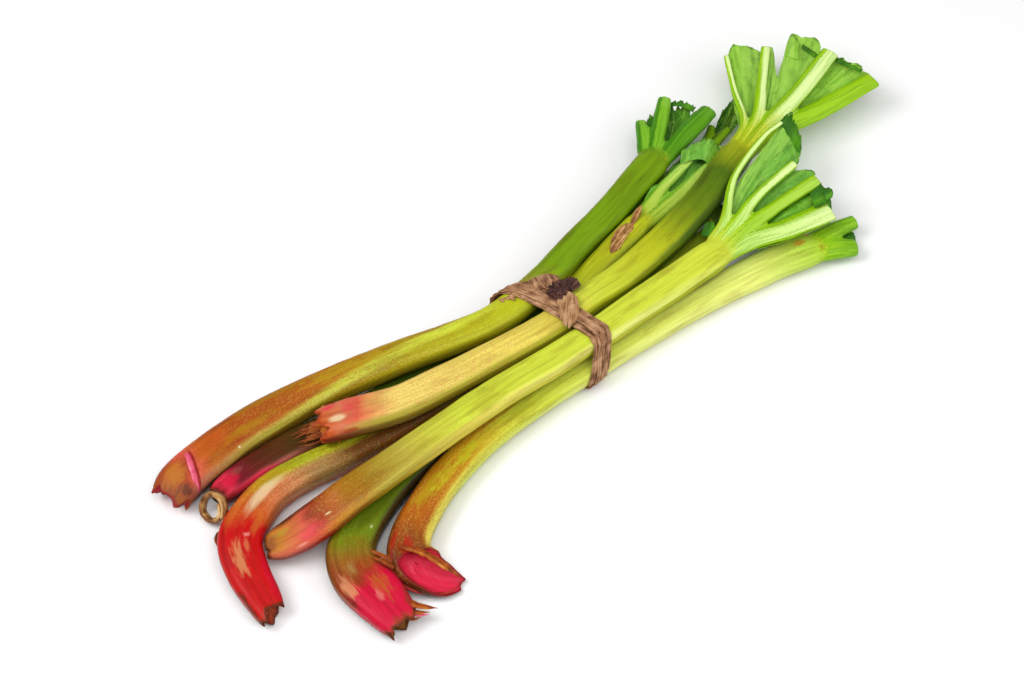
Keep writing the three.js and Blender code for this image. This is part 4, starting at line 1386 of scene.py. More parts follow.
# ---- The tie ------------------------------------------------------------------------------
@dataclass
class Tie:
    """A strip of dried leaf wound round the bunch and knotted on top, in mm."""

    stalks: tuple[Stalk, ...]
    finishes: tuple[DriedLeaf, ...]  # the strips, the knot, the pale torn ends
    peak: float = 38.0
    crest_y: float = -13.0
    back_fall: float = 0.0195
    front_fall: float = 0.008
    height: float = 32.0
    under_x: float = 25.0
    under_y: float = -42.0
    slope: float = -0.3
    width: float = 10.5
    gap: float = 0.35
    steps: int = 176
    knot_centre: tuple[float, float, float] = (34.0, 1.5, 34.6)
    knot_reach: tuple[float, float, float] = (7.0, 6.0, 4.0)
    ends: tuple[Sheet, ...] = ()

    def crossing(self, point: np.ndarray) -> float:
        """How far along X the tie is.

        Args:
            point: A place on the outside of the bunch.

        Returns:
            Its X, in mm.
        """
        fall = self.back_fall if point[1] > self.crest_y else self.front_fall
        over = self.peak - fall * (point[1] - self.crest_y) ** 2
        under = self.under_x + self.slope * (point[1] - self.under_y)
        share = float(smooth(0, self.height, point[2]))
        return under + (over - under) * share

    def loop(self) -> tuple[np.ndarray, np.ndarray]:
        """The line of the tie, just outside the stalks.

        Returns:
            Its centres, and the outward direction at each, one row a step.
        """
        touch = []
        for stalk in self.stalks:
            way = Way(stalk.rows)
            place = way.at(np.repeat(np.arange(0, way.length, 2.0)[:, None], TIE_SIDES, 1))
            angle = np.arange(TIE_SIDES) / (TIE_SIDES / 2) * math.pi
            sides = Section(TIE_SIDES).offsets(angle[None, :], place["width"], place["depth"])
            near = np.abs(place["centre"][..., 0] - self.under_x) <= TIE_REACH
            touch.append(swept(place, *sides)[near])
        touch = np.concatenate(touch)

        def farthest(x: float, outward: np.ndarray) -> np.ndarray:
            """The outermost point of the stalks near an X."""
            near = touch[np.abs(touch[:, 0] - x) < self.width / 2 + 2]
            return near[np.argmax(near @ outward)]

        turns = np.arange(self.steps) / self.steps * 2 * math.pi
        outwards = np.stack([0 * turns, np.cos(turns), np.sin(turns)], 1)
        centres = []
        for outward in outwards:
            x = self.crossing(farthest(self.under_x, outward))
            centre = farthest(x, outward).copy()
            centre[0] = x
            centres.append(centre + outward * (self.gap + 0.3))
        centres = np.array(centres)
        kernel = np.hanning(TIE_KERNEL) / np.hanning(TIE_KERNEL).sum()
        half = TIE_KERNEL // 2
        padded = np.concatenate([centres[-half:], centres, centres[:half]])
        soft = np.stack([np.convolve(padded[:, k], kernel, "valid") for k in range(3)], 1)
        return soft, outwards

    def wave(self, size: float, seed: int) -> np.ndarray:
        """Noise along the loop that meets itself, one row a step."""
        turn = np.arange(self.steps)[:, None] / self.steps * 2 * math.pi
        return lumps(np.cos(turn) * size, np.sin(turn) * size, seed=seed)

    @staticmethod
    def looped(values: np.ndarray) -> np.ndarray:
        """Values with their first column and their first row once more at the end."""
        wide = np.concatenate([values, values[:, :1]], axis=1)
        return np.concatenate([wide, wide[:1]])

    def strip(self, parts: MeshParts, low: float, high: float, lift: float, seed: int) -> None:
        """Adds one pleated strip along the loop.

        Args:
            parts: The mesh it joins.
            low: Its near edge, in mm along X from the middle of the tie.
            high: Its far edge.
            lift: Its height above the stalks, in mm.
            seed: Picks its pleats and its ragged edges.
        """
        centres, outwards = self.loop()
        run = np.concatenate([[0], np.cumsum(np.linalg.norm(np.diff(centres, axis=0), axis=1))])
        share = np.concatenate([np.linspace(0, 1, TIE_COLUMNS), np.linspace(1, 0, TIE_COLUMNS)])
        face = np.repeat([0.5, -0.5], TIE_COLUMNS)
        left = low + 1.1 * self.wave(3, seed) + 0.9 * np.abs(self.wave(16, seed + 1))
        right = high + 1.1 * self.wave(3, seed + 2) - 0.9 * np.abs(self.wave(16, seed + 3))
        across = left + (right - left) * share[None, :]
        pleat = 0.20 * np.sin(across * 1.5 + 2.4 * self.wave(3, seed + 4))
        pleat = pleat + 0.14 * lumps(across / 0.7, run[:, None] / 14, seed=seed + 5)
        out = lift + pleat + face[None, :] * TIE_THICK + 0.4 * self.wave(5, seed + 6)
        points = centres[:, None, :] + np.array([1.0, 0, 0]) * across[..., None]
        points = points + outwards[:, None, :] * out[..., None]
        whole = self.looped(np.repeat(run[:, None], len(share), 1))
        sideways = self.looped(np.repeat(share[None], self.steps, 0))
        parts.grid(points, {Layer.SHARE: np.stack([whole / run[-1], sideways], -1),
                            Layer.SECTION: np.stack([self.looped(across + seed * 20), whole], -1)},
                   wrap=True, loop=True)

    def knot(self, parts: MeshParts) -> None:
        """Adds the crumpled knot.

        Args:
            parts: The mesh it joins.
        """
        polar = np.linspace(0.02, math.pi - 0.02, KNOT_RINGS)[:, None]
        turn = np.arange(KNOT_SIDES)[None, :] / KNOT_SIDES * 2 * math.pi
        flat, high = np.sin(polar), np.cos(polar) + 0 * turn
        unit = np.stack([flat * np.cos(turn), flat * np.sin(turn), high], -1)
        fold = np.abs(lumps(unit[..., 0] * 2.4, unit[..., 1] * 2.4, unit[..., 2] * 2.4, seed=4))
        fine = lumps(unit[..., 0] * 7, unit[..., 1] * 5, unit[..., 2] * 7, seed=6)
        swell = 0.80 + 0.45 * fold + 0.07 * fine
        points = np.array(self.knot_centre) + unit * np.array(self.knot_reach) * swell[..., None]
        around = np.arange(KNOT_SIDES + 1)[None, :] / KNOT_SIDES * 36 + 0 * polar
        layers = {Layer.SECTION: np.stack([around, polar * 6 + 0 * around], -1)}
        parts.grid(points, layers, wrap=True, flip=True, finish=1)

    def build(self) -> list[bpy.types.Object]:
        """Winds the strips, ties the knot and dresses the tie.

        Returns:
            The piece.
        """
        parts = MeshParts()
        for low, high, lift, seed in ((-6.4, 0.6, 0.2, 50), (-0.6, 6.4, 0.45, 60), (-4.0, 3.6, 0.9, 70)):
            self.strip(parts, low, high, lift, seed)
        self.knot(parts)
        for end in self.ends:
            end.add_to(parts)
        piece = parts.grow("tie_strips", [finish.material() for finish in self.finishes])
        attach(piece, BODY)
        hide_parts("tie")
        return [piece]


# ---- The studio ---------------------------------------------------------------------------
@dataclass
class Studio:
    """A pale floor, soft lights and the camera."""

    target: tuple[float, float, float] = (-0.0363, 0.011, 0.018)
    azimuth: float = -37.3
    elevation: float = 55.0
    distance: float = 1.5
    lens: float = 95.9

    def build(self) -> None:
        """Sets up the floor, the lights, the world and the camera."""
        self.floor()
        self.light("key_light", (-0.9, 0.4, 1.4), 0.8, 14)
        self.light("fill_light", (0.6, -1.1, 1.0), 1.4, 8)
        self.light("top_light", (-0.3, -0.5, 1.8), 1.2, 14)
        world = bpy.data.worlds.new("studio_air")
        world.use_nodes = True
        world.node_tree.nodes["Background"].inputs["Color"].default_value = (1, 1, 1, 1)
        world.node_tree.nodes["Background"].inputs["Strength"].default_value = 0.34
        scene = bpy.context.scene
        scene.world = world
        scene.view_settings.view_transform = "Standard"
        camera = bpy.data.cameras.new("camera")
        camera.lens, camera.sensor_width = self.lens, 36.0
        camera.clip_start, camera.clip_end = 0.05, 20.0
        eye = linked("camera", camera)
        high, turn = math.radians(self.elevation), math.radians(self.azimuth)
        back = Vector((math.cos(high) * math.sin(turn), -math.cos(high) * math.cos(turn), math.sin(high)))
        eye.location = Vector(self.target) + back * self.distance
        eye.rotation_euler = back.to_track_quat("Z", "Y").to_euler()
        scene.camera = eye

    def light(self, name: str, place: tuple[float, float, float], size: float, power: float) -> None:
        """Hangs one soft light that faces the bunch.

        Args:
            name: The light's name.
            place: Where it hangs, in metres.
            size: Its side, in metres.
            power: In watts.
        """
        lamp = bpy.data.lights.new(name, "AREA")
        lamp.size, lamp.energy = size, power
        holder = linked(name, lamp)
        holder.location = place
        holder.rotation_euler = Vector(place).to_track_quat("Z", "Y").to_euler()

    def floor(self) -> None:
        """Lays the pale floor, painted board with a faint eggshell sheen."""
        mesh = bpy.data.meshes.new("floor")
        half = 4.0
        corners = [(-half, -half, 0), (half, -half, 0), (half, half, 0), (-half, half, 0)]
        mesh.from_pydata(corners, [], [(0, 1, 2, 3)])
        tree = NodeTree("painted_board_matt")
        grain = tree.add("TexNoise", {"Scale": 400.0, "Detail": 2.0})
        bump = tree.add("Bump", {"Height": grain, "Strength": 0.02, "Distance": 0.0002})
        board = tree.add("BsdfPrincipled", {"Base Color": "f7f7f7", "Roughness": 0.8, "Normal": bump})
        tree.add("OutputMaterial", {"Surface": board})
        mesh.materials.append(tree.material)
        linked("floor", mesh)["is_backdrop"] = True


# ---- The bunch: rows of x, y, z, width, depth and roll, from base to leaf ----------------
# The long stalk at the back, with an open torn sheath at its base.
STALK_BACK = Stalk(
    "stalk_back",
    rows=(
        (-203.5, 34.2, 7.5, 21.5, 12.5, 12), (-193, 38.5, 9.5, 24.5, 16, 8),
        (-175, 41.4, 10.5, 24.2, 17.5, 4), (-146, 43.8, 11, 23.2, 17), (-115, 41.2, 12.5, 22.2, 16.5),
        (-85, 35.5, 16, 20.5, 16), (-57, 27, 21, 19.5, 15.5), (-29, 18, 24.5, 18.5, 15),
        (0, 12.5, 26, 17.8, 15), (38, 18, 26, 17.8, 15), (64, 25.4, 25.6, 16.9, 15),
        (93, 32.3, 25.2, 17.2, 15), (114, 39.3, 24.6, 17.9, 15), (135, 46, 24, 19.4, 15),
        (149, 52.7, 23, 19.8, 13),
    ),
    base=TornBase(9, 0.3, 4, 250, 1.5, 3.4, 1),
    ribs=(
        Rib(((146.5, 67.5, 24, 8.5, 6.5), (152.5, 76.5, 22, 7, 4))),
        Rib(((158, 66, 24.6, 10, 7.5), (173, 80, 24.5, 8, 5))),
        Rib(((165, 52, 23.4, 12.5, 8.5), (190.5, 60, 20, 11, 7)), pale=0.4),
    ),
    skin=StalkSkin(
        "rhubarb_skin_back",
        back="0 chestnut, 5 dusty_rose, 30 tan_brown, 50 dun, 72 tan_brown, 86 dusty_rose, 100 olive_lime",
        face="0 tan_brown, 4 brick, 5.5 coral, 9 copper, 14 rust, 26 copper, 42 mustard, 60 dun, 69 grass",
        ridge="0 chestnut, 5 dusty_rose, 16 khaki, 50 lime, 62 citron, 70 grass",
        front="5 bark, 20 olive_gold, 60 citron, 75 leaf",
        under="0 dried_blood, 20 umber, 60 pale_olive, 70 olive_lime, 75 bottle",
        speckle="0 some, 10 many, 30 most, 55 many, 66 some, 75 few, 100 none",
        flesh="0 rose, 100 wine", rim="garnet", twist=(0.14, 0.6, 0.27), untwist=(0.6, 0.74),
        rib_crest_and_highlight="80 bright_green, 100 light_green", rib_flank="0 green, 100 green",
        spots=(
            Spot(0.22, 0.13, 0.08, 0.05, "olive_gold", 0.6, 0.8),
            Spot(0.34, 0.2, 0.08, 0.07, "mustard", 0.6, 0.9),
            Spot(0.16, 0.28, 0.05, 0.05, "mustard", 0.4, 0.9),
            # The small cream mark near the ridge is a painted highlight.
            Spot(0.128, 0.37, 0.003, 0.012, "cream", 0.6), Spot(0.985, 0.06, 0.012, 0.05, "mustard", 0.6),
            Spot(0.99, 0.36, 0.012, 0.04, "gold", 0.7), Spot(0.03, 0.2, 0.02, 0.08, "amber", 0.6, 0.6),
            Spot(0.02, 0.34, 0.012, 0.05, "bark", 0.8, 0.7),
            Spot(0.1, 0.2, 0.04, 0.1, "burnt_orange", 0.5, 0.4),
        ),
    ),
)

# The lowest stalk at the back, whose dried base curls into a ring.
STALK_CURLED_END = Stalk(
    "stalk_curled_end",
    rows=(
        (-183, 18, 11, 12, 9), (-174, 21, 8.8, 15.4, 13), (-155, 22.8, 8, 16, 13.5),
        (-130, 21.8, 8, 16.8, 14), (-98, 17.8, 8.1, 16.6, 14), (-66, 15.8, 8.2, 16.4, 13.6),
        (-34, 13.9, 9, 16.2, 14), (0, 14, 9.7, 16.2, 14.4), (25, 16.5, 9.7, 16, 14.4),
        (45, 22, 9.3, 15.5, 14), (75, 29.5, 7.4, 15, 13.5), (114, 31, 7.4, 15, 13.5),
        (148, 37.5, 8.8, 15.5, 13.5), (172, 43, 10, 16.5, 12),
    ),
    base=TornBase(0, 0, 0, 0, 1, 0, 2),
    ribs=(
        Rib(((179, 48, 10.5, 8, 6), (189, 55, 12, 5, 3.5))),
        Rib(((182, 44, 11, 7.5, 6), (195, 47, 13, 5, 3.5))),
    ),
    skin=StalkSkin(
        "rhubarb_skin_curled_end",
        # The dark olive and near-black brown along its far side and underside are painted shade from the
        # stalks above it.
        back="3 wine, 12 dark_olive, 20 soot, 100 leaf",
        face="0 garnet, 2 rose, 5 wine, 10 bark, 26 bottle, 60 leaf, 72 grass",
        ridge="0 garnet, 8 rose, 13 dusty_rose, 20 bottle, 100 grass",
        front="0 garnet, 12 dried_blood, 20 bottle, 100 leaf",
        under="0 dried_blood, 30 soot, 100 bottle",
        speckle="30 few, 60 none",
        rib_crest_and_highlight="0 grass, 100 grass", rib_flank="0 leaf, 100 leaf",
        spots=(
            Spot(0.03, 0.25, 0.02, 0.08, "crimson", 0.6, 0.4),
            Spot(0.05, 0.20, 0.012, 0.05, "dusty_rose", 0.35, 0.4),
        ),
    ),
)

# The stalk that bends into a red hook.
STALK_RED_HOOK = Stalk(
    "stalk_red_hook",
    rows=(
        (-199.5, -59, 8.2, 15.5, 12), (-198.5, -47.5, 8.8, 19, 15), (-195.8, -29, 9.4, 22.5, 17),
        (-189, -12.2, 9.7, 24, 17.5), (-175.5, -2.6, 10, 23, 17.5), (-159, 3, 10.2, 20.5, 17),
        (-139, 3.5, 10, 19, 16.5), (-115, 0, 9.8, 18, 16), (-91, -2.5, 9.5, 17, 15.5),
        (-59, -3.5, 9.3, 16.5, 15), (-11, -3.5, 9.9, 16.3, 14.8), (20, -2, 10.3, 16.2, 14.8),
        (45, 5.5, 14.5, 15.5, 14), (60, 8.5, 18, 15, 14), (80, 12.5, 21, 15, 14), (97, 16, 22.5, 15.5, 14),
        (114, 21, 22.5, 17.5, 13),
    ),
    base=TornBase(5, 0.3, 5, 185, 1.2, 2.2, 3),
    ribs=(
        Rib(((122, 26.5, 25, 8, 6), (136, 31, 24, 7, 5), (157, 37, 22.5, 5.5, 3))),
        Rib((
            (124, 18.4, 23, 11, 7.5), (138.5, 21.6, 21.5, 10, 6.5), (158, 27.2, 20.5, 6, 4.5),
            (175.5, 32.2, 20, 3.5, 3), (178, 37, 19, 2.5, 2.2),
        )),
    ),
    skin=StalkSkin(
        "rhubarb_skin_red_hook",
        back="0 brick, 6 cherry, 15 cherry, 18 burnt_orange, 22 gold, "
             "28 pale_olive, 38 citron, 50 olive_lime, 100 pear",
        # The pale apricot in the middle of its face near the hook is partly its own pale pink-tan, partly
        # painted highlight.
        face="0 brick, 2 cherry, 15.5 cherry, 18 burnt_orange, 26 apricot, 31 dun, "
             "38 umber, 50 umber, 66 pale_olive, 100 citron",
        ridge="0 brick, 2 cherry, 16 cherry, 19 burnt_orange, 32 brick, 52 chestnut, 100 pear",
        front="0 garnet, 3 rust_red, 13 rust_red, 26 rust, 48 bark, 66 dark_olive, 100 fern",
        under="35 dried_blood, 100 leaf",
        speckle="14 few, 20 many, 28 most, 50 many, 70 few, 100 none",
        flesh="0 brick, 100 chestnut", rim="bark", twist=(0.14, 0.24, -0.15), untwist=(0.42, 0.6),
        rib_crest_and_highlight="0 pear, 100 mint", rib_flank="0 olive_lime, 40 bright_green, 100 light_green",
        spots=(
            Spot(0.10, 0.22, 0.034, 0.05, "apricot", 0.7, 0.75),
            Spot(0.118, 0.30, 0.02, 0.03, "apricot", 0.4, 0.7),
            Spot(0.175, 0.14, 0.035, 0.04, "amber", 0.4, 0.3),
            Spot(0.165, 0.34, 0.03, 0.035, "amber", 0.35, 0.3),
            # The cream spot on the bend is a painted highlight.
            Spot(0.215, 0.24, 0.05, 0.05, "cream", 0.5, 0.25),
            Spot(0.03, 0.06, 0.03, 0.05, "bark", 0.8, 0.8),
            Spot(0.05, 0.38, 0.05, 0.05, "crimson", 0.5, 0.6),
            Spot(0.09, 0.03, 0.04, 0.05, "brick", 0.7, 0.8),
            Spot(0.14, 0.30, 0.006, 0.03, "shell_pink", 0.5, 0.7),
        ),
    ),
    slot=Slot.RED_SKIN,
)

# The short stalk on top, with the widest fan.
STALK_TOP = Stalk(
    "stalk_top",
    rows=(
        (-120, 13, 26.5, 18.5, 14.5, -4), (-104, 8, 26.8, 20.5, 16.5), (-77, -0.5, 26.2, 20, 16),
        (-46, -4.5, 26, 19, 15.5), (-14, -7.5, 26, 17.5, 15), (12, -9, 26, 17, 14.8),
        (30, -9, 26, 17, 14.8), (49, -7.5, 25.5, 17, 15), (73, -6.8, 25, 18, 15), (100, -2.8, 25, 18.8, 15),
        (120, 1.5, 25.5, 18.8, 15), (143, 8.2, 25.5, 18.6, 15), (164, 16.5, 25.2, 18.5, 15),
        (179, 21.5, 25, 19, 14.5), (192, 24, 25, 20, 12),
    ),
    base=TornBase(5, 0.35, 2, 90, 1, 2.4, 4),
    ribs=(
        Rib(((196, 36, 27.4, 5.5, 5), (207, 58, 28, 4, 3.5), (219, 80, 30, 3.5, 2.5))),
        Rib(((204, 34, 27.4, 8, 6), (222, 51, 28, 6.5, 5), (242, 71, 30, 6, 3.5))),
        Rib(((207.5, 27, 27.4, 11.5, 7.5), (234, 33.3, 28, 11.5, 6), (270, 45, 30, 11, 4.5))),
        Rib(((206, 22, 26, 11.5, 8), (237, 19.2, 24, 13.2, 5.5), (280, 17.2, 24, 12, 3.5)), pale=0.15),
    ),
    skin=StalkSkin(
        "rhubarb_skin_top",
        back="0 rust_red, 12 apricot, 60 pale_olive, 100 grass",
        face="0 burnt_orange, 4 terracotta, 6.5 coral, 14 straw, 44 honey, 54 lime, "
             "68 citron, 80 fern, 90 leaf, 100 citron",
        ridge="0 burnt_orange, 4 terracotta, 10 khaki, 56 citron, 74 leaf, 92 bottle, 100 pear",
        front="0 garnet, 5 tan_brown, 12 mustard, 52 citron, 68 leaf, 85 bottle, 100 grass",
        under="0 dried_blood, 46 bottle",
        speckle="0 few, 8 some, 14 most, 35 most, 46 many, 55 some, 75 few, 100 none",
        freckle="terracotta", pore="straw", flesh="0 amber, 40 burnt_orange, 100 brick", rim="brick",
        rib_crest_and_highlight="0 citron, 20 lime, 50 milky_green", rib_flank="0 pale_olive, 30 chartreuse",
        spots=(
            Spot(0.024, 0.15, 0.014, 0.035, "rose", 0.7, 0.5),
            # The cream patch by the base's lip is a painted highlight.
            Spot(0.032, 0.28, 0.016, 0.04, "cream", 0.6, 0.35),
            Spot(0.055, 0.20, 0.014, 0.05, "rose", 0.4, 0.7),
            Spot(0.012, 0.42, 0.012, 0.05, "burnt_orange", 0.8, 0.6),
            Spot(0.045, 0.43, 0.02, 0.03, "brick", 0.7, 0.8),
        ),
    ),
)

# The stalk in front of it, with the second fan.
STALK_CENTRE = Stalk(
    "stalk_centre",
    rows=(
        (-181, -24.6, 10.5, 10.5, 8), (-173, -26.6, 12.5, 18, 12), (-161, -29.1, 16, 21.4, 14.5),
        (-143, -31, 21.8, 21.2, 15), (-129, -31.2, 25.4, 20.4, 15), (-97, -30.5, 26.6, 18.6, 15.2),
        (-63, -28.5, 26, 18, 15), (-28, -27.5, 26, 17.5, 15), (5, -28.5, 26, 17.2, 14.8),
        (29, -28.5, 26, 17, 14.8), (44, -28.7, 25.5, 17.5, 15), (68, -27.5, 25, 18.3, 15),
        (93, -26.8, 25, 18.8, 15), (120, -25.8, 25, 19.4, 14.5), (136, -25.2, 25, 19.6, 13),
    ),
    base=TornBase(0, 0.3, 2, 50, 2, 0.9, 5),
    ribs=(
        Rib((
            (142, -11.5, 28, 6.5, 5.5), (162, 5, 33.5, 4.5, 4), (191, 15, 37.5, 3.5, 3),
            (207, 16.5, 39, 3, 2.5),
        )),
        Rib(((144, -18, 27.6, 8.5, 6.5), (166, -11, 30, 6.5, 5), (196, -8, 34, 6, 4))),
        Rib(((147, -23.4, 27, 9.5, 6.5), (172, -21.5, 27, 8.5, 5.5), (201, -22.5, 30, 8.5, 4.5)), pale=0.3),
        Rib(((144, -30.3, 25.8, 12.5, 8), (168, -35.4, 23.6, 13.5, 5.5), (196, -40.5, 24, 14.5, 4))),
    ),
    skin=StalkSkin(
        "rhubarb_skin_centre",
        back="0 chestnut, 12 tan_brown, 20 mustard, 100 pear",
        face="0 tan_brown, 3 amber, 8 coral, 10.5 brick, 14 copper, 19 olive_gold, 27 khaki, 40 lime",
        ridge="0 terracotta, 9 coral, 13 amber, 22 khaki, 40 honey, 75 pale_lime, 100 lime",
        front="0 brick, 10 rust_red, 14 tan_brown, 22 mustard, 34 honey, 85 citron, 100 pear",
        under="15 bark, 40 moss, 100 leaf",
        speckle="8 some, 13 most, 25 some, 50 some, 66 few, 100 none",
        flesh="0 apricot, 100 chestnut", rim="chestnut", rib_crest_and_highlight="0 lime, 20 mint, 100 milky_green",
        rib_flank="0 lime, 30 chartreuse",
        spots=(
            Spot(0.038, 0.20, 0.014, 0.03, "mustard", 0.55, 0.7),
            Spot(0.08, 0.34, 0.03, 0.06, "rose", 0.45, 0.6),
            Spot(0.058, 0.40, 0.012, 0.02, "shell_pink", 0.5, 0.6),
            Spot(0.12, 0.3, 0.006, 0.012, "cream", 0.6, 0.9),
            # The dark brown patch at the base's upper edge is painted shade of an open groove there.
            Spot(0.06, 0.10, 0.07, 0.06, "bark", 0.95, 0.25),
            Spot(0.012, 0.25, 0.012, 0.1, "tan_brown", 0.8, 0.6),
        ),
    ),
)

# The green stalk that bends into a crimson hook.
STALK_GREEN_HOOK = Stalk(
    "stalk_green_hook",
    rows=(
        (-149.5, -104.5, 8.2, 18, 11), (-149.5, -95, 8.8, 24, 14.5), (-150.2, -81, 9.6, 28.5, 17),
        (-151.2, -66, 9.9, 28.5, 18), (-146, -52.8, 9.9, 26.5, 17.5), (-134, -43.8, 9.2, 22.3, 16),
        (-117, -36.5, 8.9, 19.5, 15.2), (-97, -30.5, 8.6, 17.5, 14.5), (-73, -25.2, 8.4, 16, 14),
        (-46, -20.8, 8.6, 15.4, 14.2), (-10, -19.7, 9.7, 15, 14.4), (29, -19.5, 9.7, 15, 14.4),
        (70, -18, 8.6, 15.4, 14.2), (104, -12.5, 8.6, 16, 14), (127, -7.5, 9, 16, 13.5),
        (139, -3, 10, 16, 12),
    ),
    base=TornBase(6, 0.28, 4, 200, 1.3, 2.4, 6),
    ribs=(
        Rib(((141, -1, 10.5, 7, 5), (144, 8, 12, 5, 3.5))),
        Rib(((145, -7, 10, 7.5, 5), (154, -5, 11, 6, 4))),
    ),
    skin=StalkSkin(
        "rhubarb_skin_green_hook",
        back="0 umber, 2 crimson, 6 crimson, 9 brick, 13 umber, 50 bottle, 75 olive_lime, 100 pear",
        face="0 tan_brown, 2 crimson, 8.5 crimson, 10.5 brick, 18 fern, 50 leaf, 72 pear",
        # The near-black brown on its ridge, near side and underside is painted shade.
        ridge="0 chestnut, 2 crimson, 8 crimson, 11 brick, 15 dark_olive, 35 soot, 60 bottle, 100 pear",
        front="0 bark, 3 garnet, 8 garnet, 12 bark, 17 soot, 50 bottle, 100 fern",
        under="0 dried_blood, 40 soot, 100 bottle",
        speckle="0 none, 9 few, 14 many, 25 some, 50 few, 70 few, 100 none",
        flesh="0 olive_gold, 40 brick, 100 bark", rim="bark", rib_crest_and_highlight="0 olive_lime, 100 olive_lime",
        rib_flank="0 leaf, 100 moss",
        spots=(
            Spot(0.095, 0.13, 0.018, 0.045, "apricot", 0.7, 0.9),
            Spot(0.115, 0.22, 0.014, 0.03, "dun", 0.55, 0.9),
            Spot(0.08, 0.08, 0.02, 0.03, "bark", 0.8, 0.8),
            Spot(0.068, 0.30, 0.024, 0.05, "copper", 0.65, 0.9),
            # The pale pink dot is a painted highlight.
            Spot(0.058, 0.24, 0.01, 0.02, "shell_pink", 0.3, 0.9),
            Spot(0.2, 0.34, 0.005, 0.015, "cream", 0.45, 0.9),
            Spot(0.02, 0.42, 0.03, 0.06, "chestnut", 0.7, 0.8),
            Spot(0.15, 0.06, 0.05, 0.04, "umber", 0.7, 0.5),
        ),
    ),
)

# The stalk at the front, with a base like a scoop.
STALK_FRONT = Stalk(
    "stalk_front",
    rows=(
        (-107.8, -100, 7, 16, 8), (-114, -94, 8, 21.5, 13), (-120.8, -85.4, 9, 24.6, 16),
        (-123.3, -74.6, 9.4, 25, 17), (-116, -64.3, 9.8, 21.6, 17), (-102.8, -55.8, 10, 20, 16.5),
        (-84, -47, 9.8, 19, 16), (-59, -40, 9.5, 17.6, 15.5), (-36, -36.8, 9.8, 16.2, 15.2),
        (-8, -35.4, 10, 15.4, 15), (22, -35.2, 10, 15.2, 15), (40, -35.2, 9.8, 15.2, 15),
        (68, -35.6, 9, 15.6, 15), (103, -36.4, 8.2, 16.6, 14.8), (130, -38.6, 8.2, 18.4, 14.8),
        (157, -42.4, 8.4, 19.6, 14.6), (182, -48.2, 8.6, 20.6, 13), (190, -50.5, 8.6, 20.6, 12),
    ),
    base=TornBase(28, 0.2, 32, 90, 1.25, 1.3, 7),
    ribs=(
        Rib(((193, -45.3, 10.6, 12, 9), (209.5, -48.6, 11, 9, 7.5)), pale=0.3),
        Rib(((188.5, -55.2, 9.4, 13.5, 10), (199.5, -61.8, 8.4, 11, 8.5)), pale=0.3),
    ),
    skin=StalkSkin(
        "rhubarb_skin_front",
        # The bark brown over the first eighth of its far side is painted shade of the groove along it.
        back="12 bark, 25 copper, 33 gold, 42 honey, 100 lime",
        face="0 garnet, 9 chestnut, 16 copper, 27 gold, 40 lime, 85 pale_lime, 100 chartreuse",
        ridge="0 brick, 9 tan_brown, 12 honey, 45 lime, 60 pale_lime, 85 pale_lime, 100 chartreuse",
        front="0 garnet, 9 tan_brown, 12 khaki, 25 lime, 60 pale_lime, 85 pale_lime, 100 chartreuse",
        under="0 dried_blood, 15 dark_olive, 40 olive_lime, 70 honey, 100 grass",
        speckle="0 some, 10 most, 20 most, 35 many, 45 some, 65 few, 100 none",
        flesh="0 rose, 100 rose", rim="garnet", rib_crest_and_highlight="0 lime, 100 chartreuse",
        rib_flank="0 chartreuse, 100 bright_green",
        spots=(
            Spot(0.2, 0.21, 0.05, 0.07, "mustard", 0.7, 0.9),
            Spot(0.27, 0.27, 0.07, 0.06, "citron", 0.6, 0.9),
            Spot(0.34, 0.17, 0.06, 0.05, "copper", 0.5, 0.9),
            Spot(0.11, 0.13, 0.02, 0.03, "rust_red", 0.7, 0.7),
            Spot(0.10, 0.24, 0.02, 0.06, "rust_red", 0.75, 0.5),
            Spot(0.945, 0.20, 0.012, 0.04, "amber", 0.7, 0.7),
            Spot(0.965, 0.12, 0.010, 0.03, "amber", 0.6, 0.7),
            Spot(0.985, 0.3, 0.014, 0.03, "brick", 0.8, 0.5),
        ),
    ),
)

STALKS = (STALK_BACK, STALK_CURLED_END, STALK_RED_HOOK, STALK_TOP,
          STALK_CENTRE, STALK_GREEN_HOOK, STALK_FRONT)


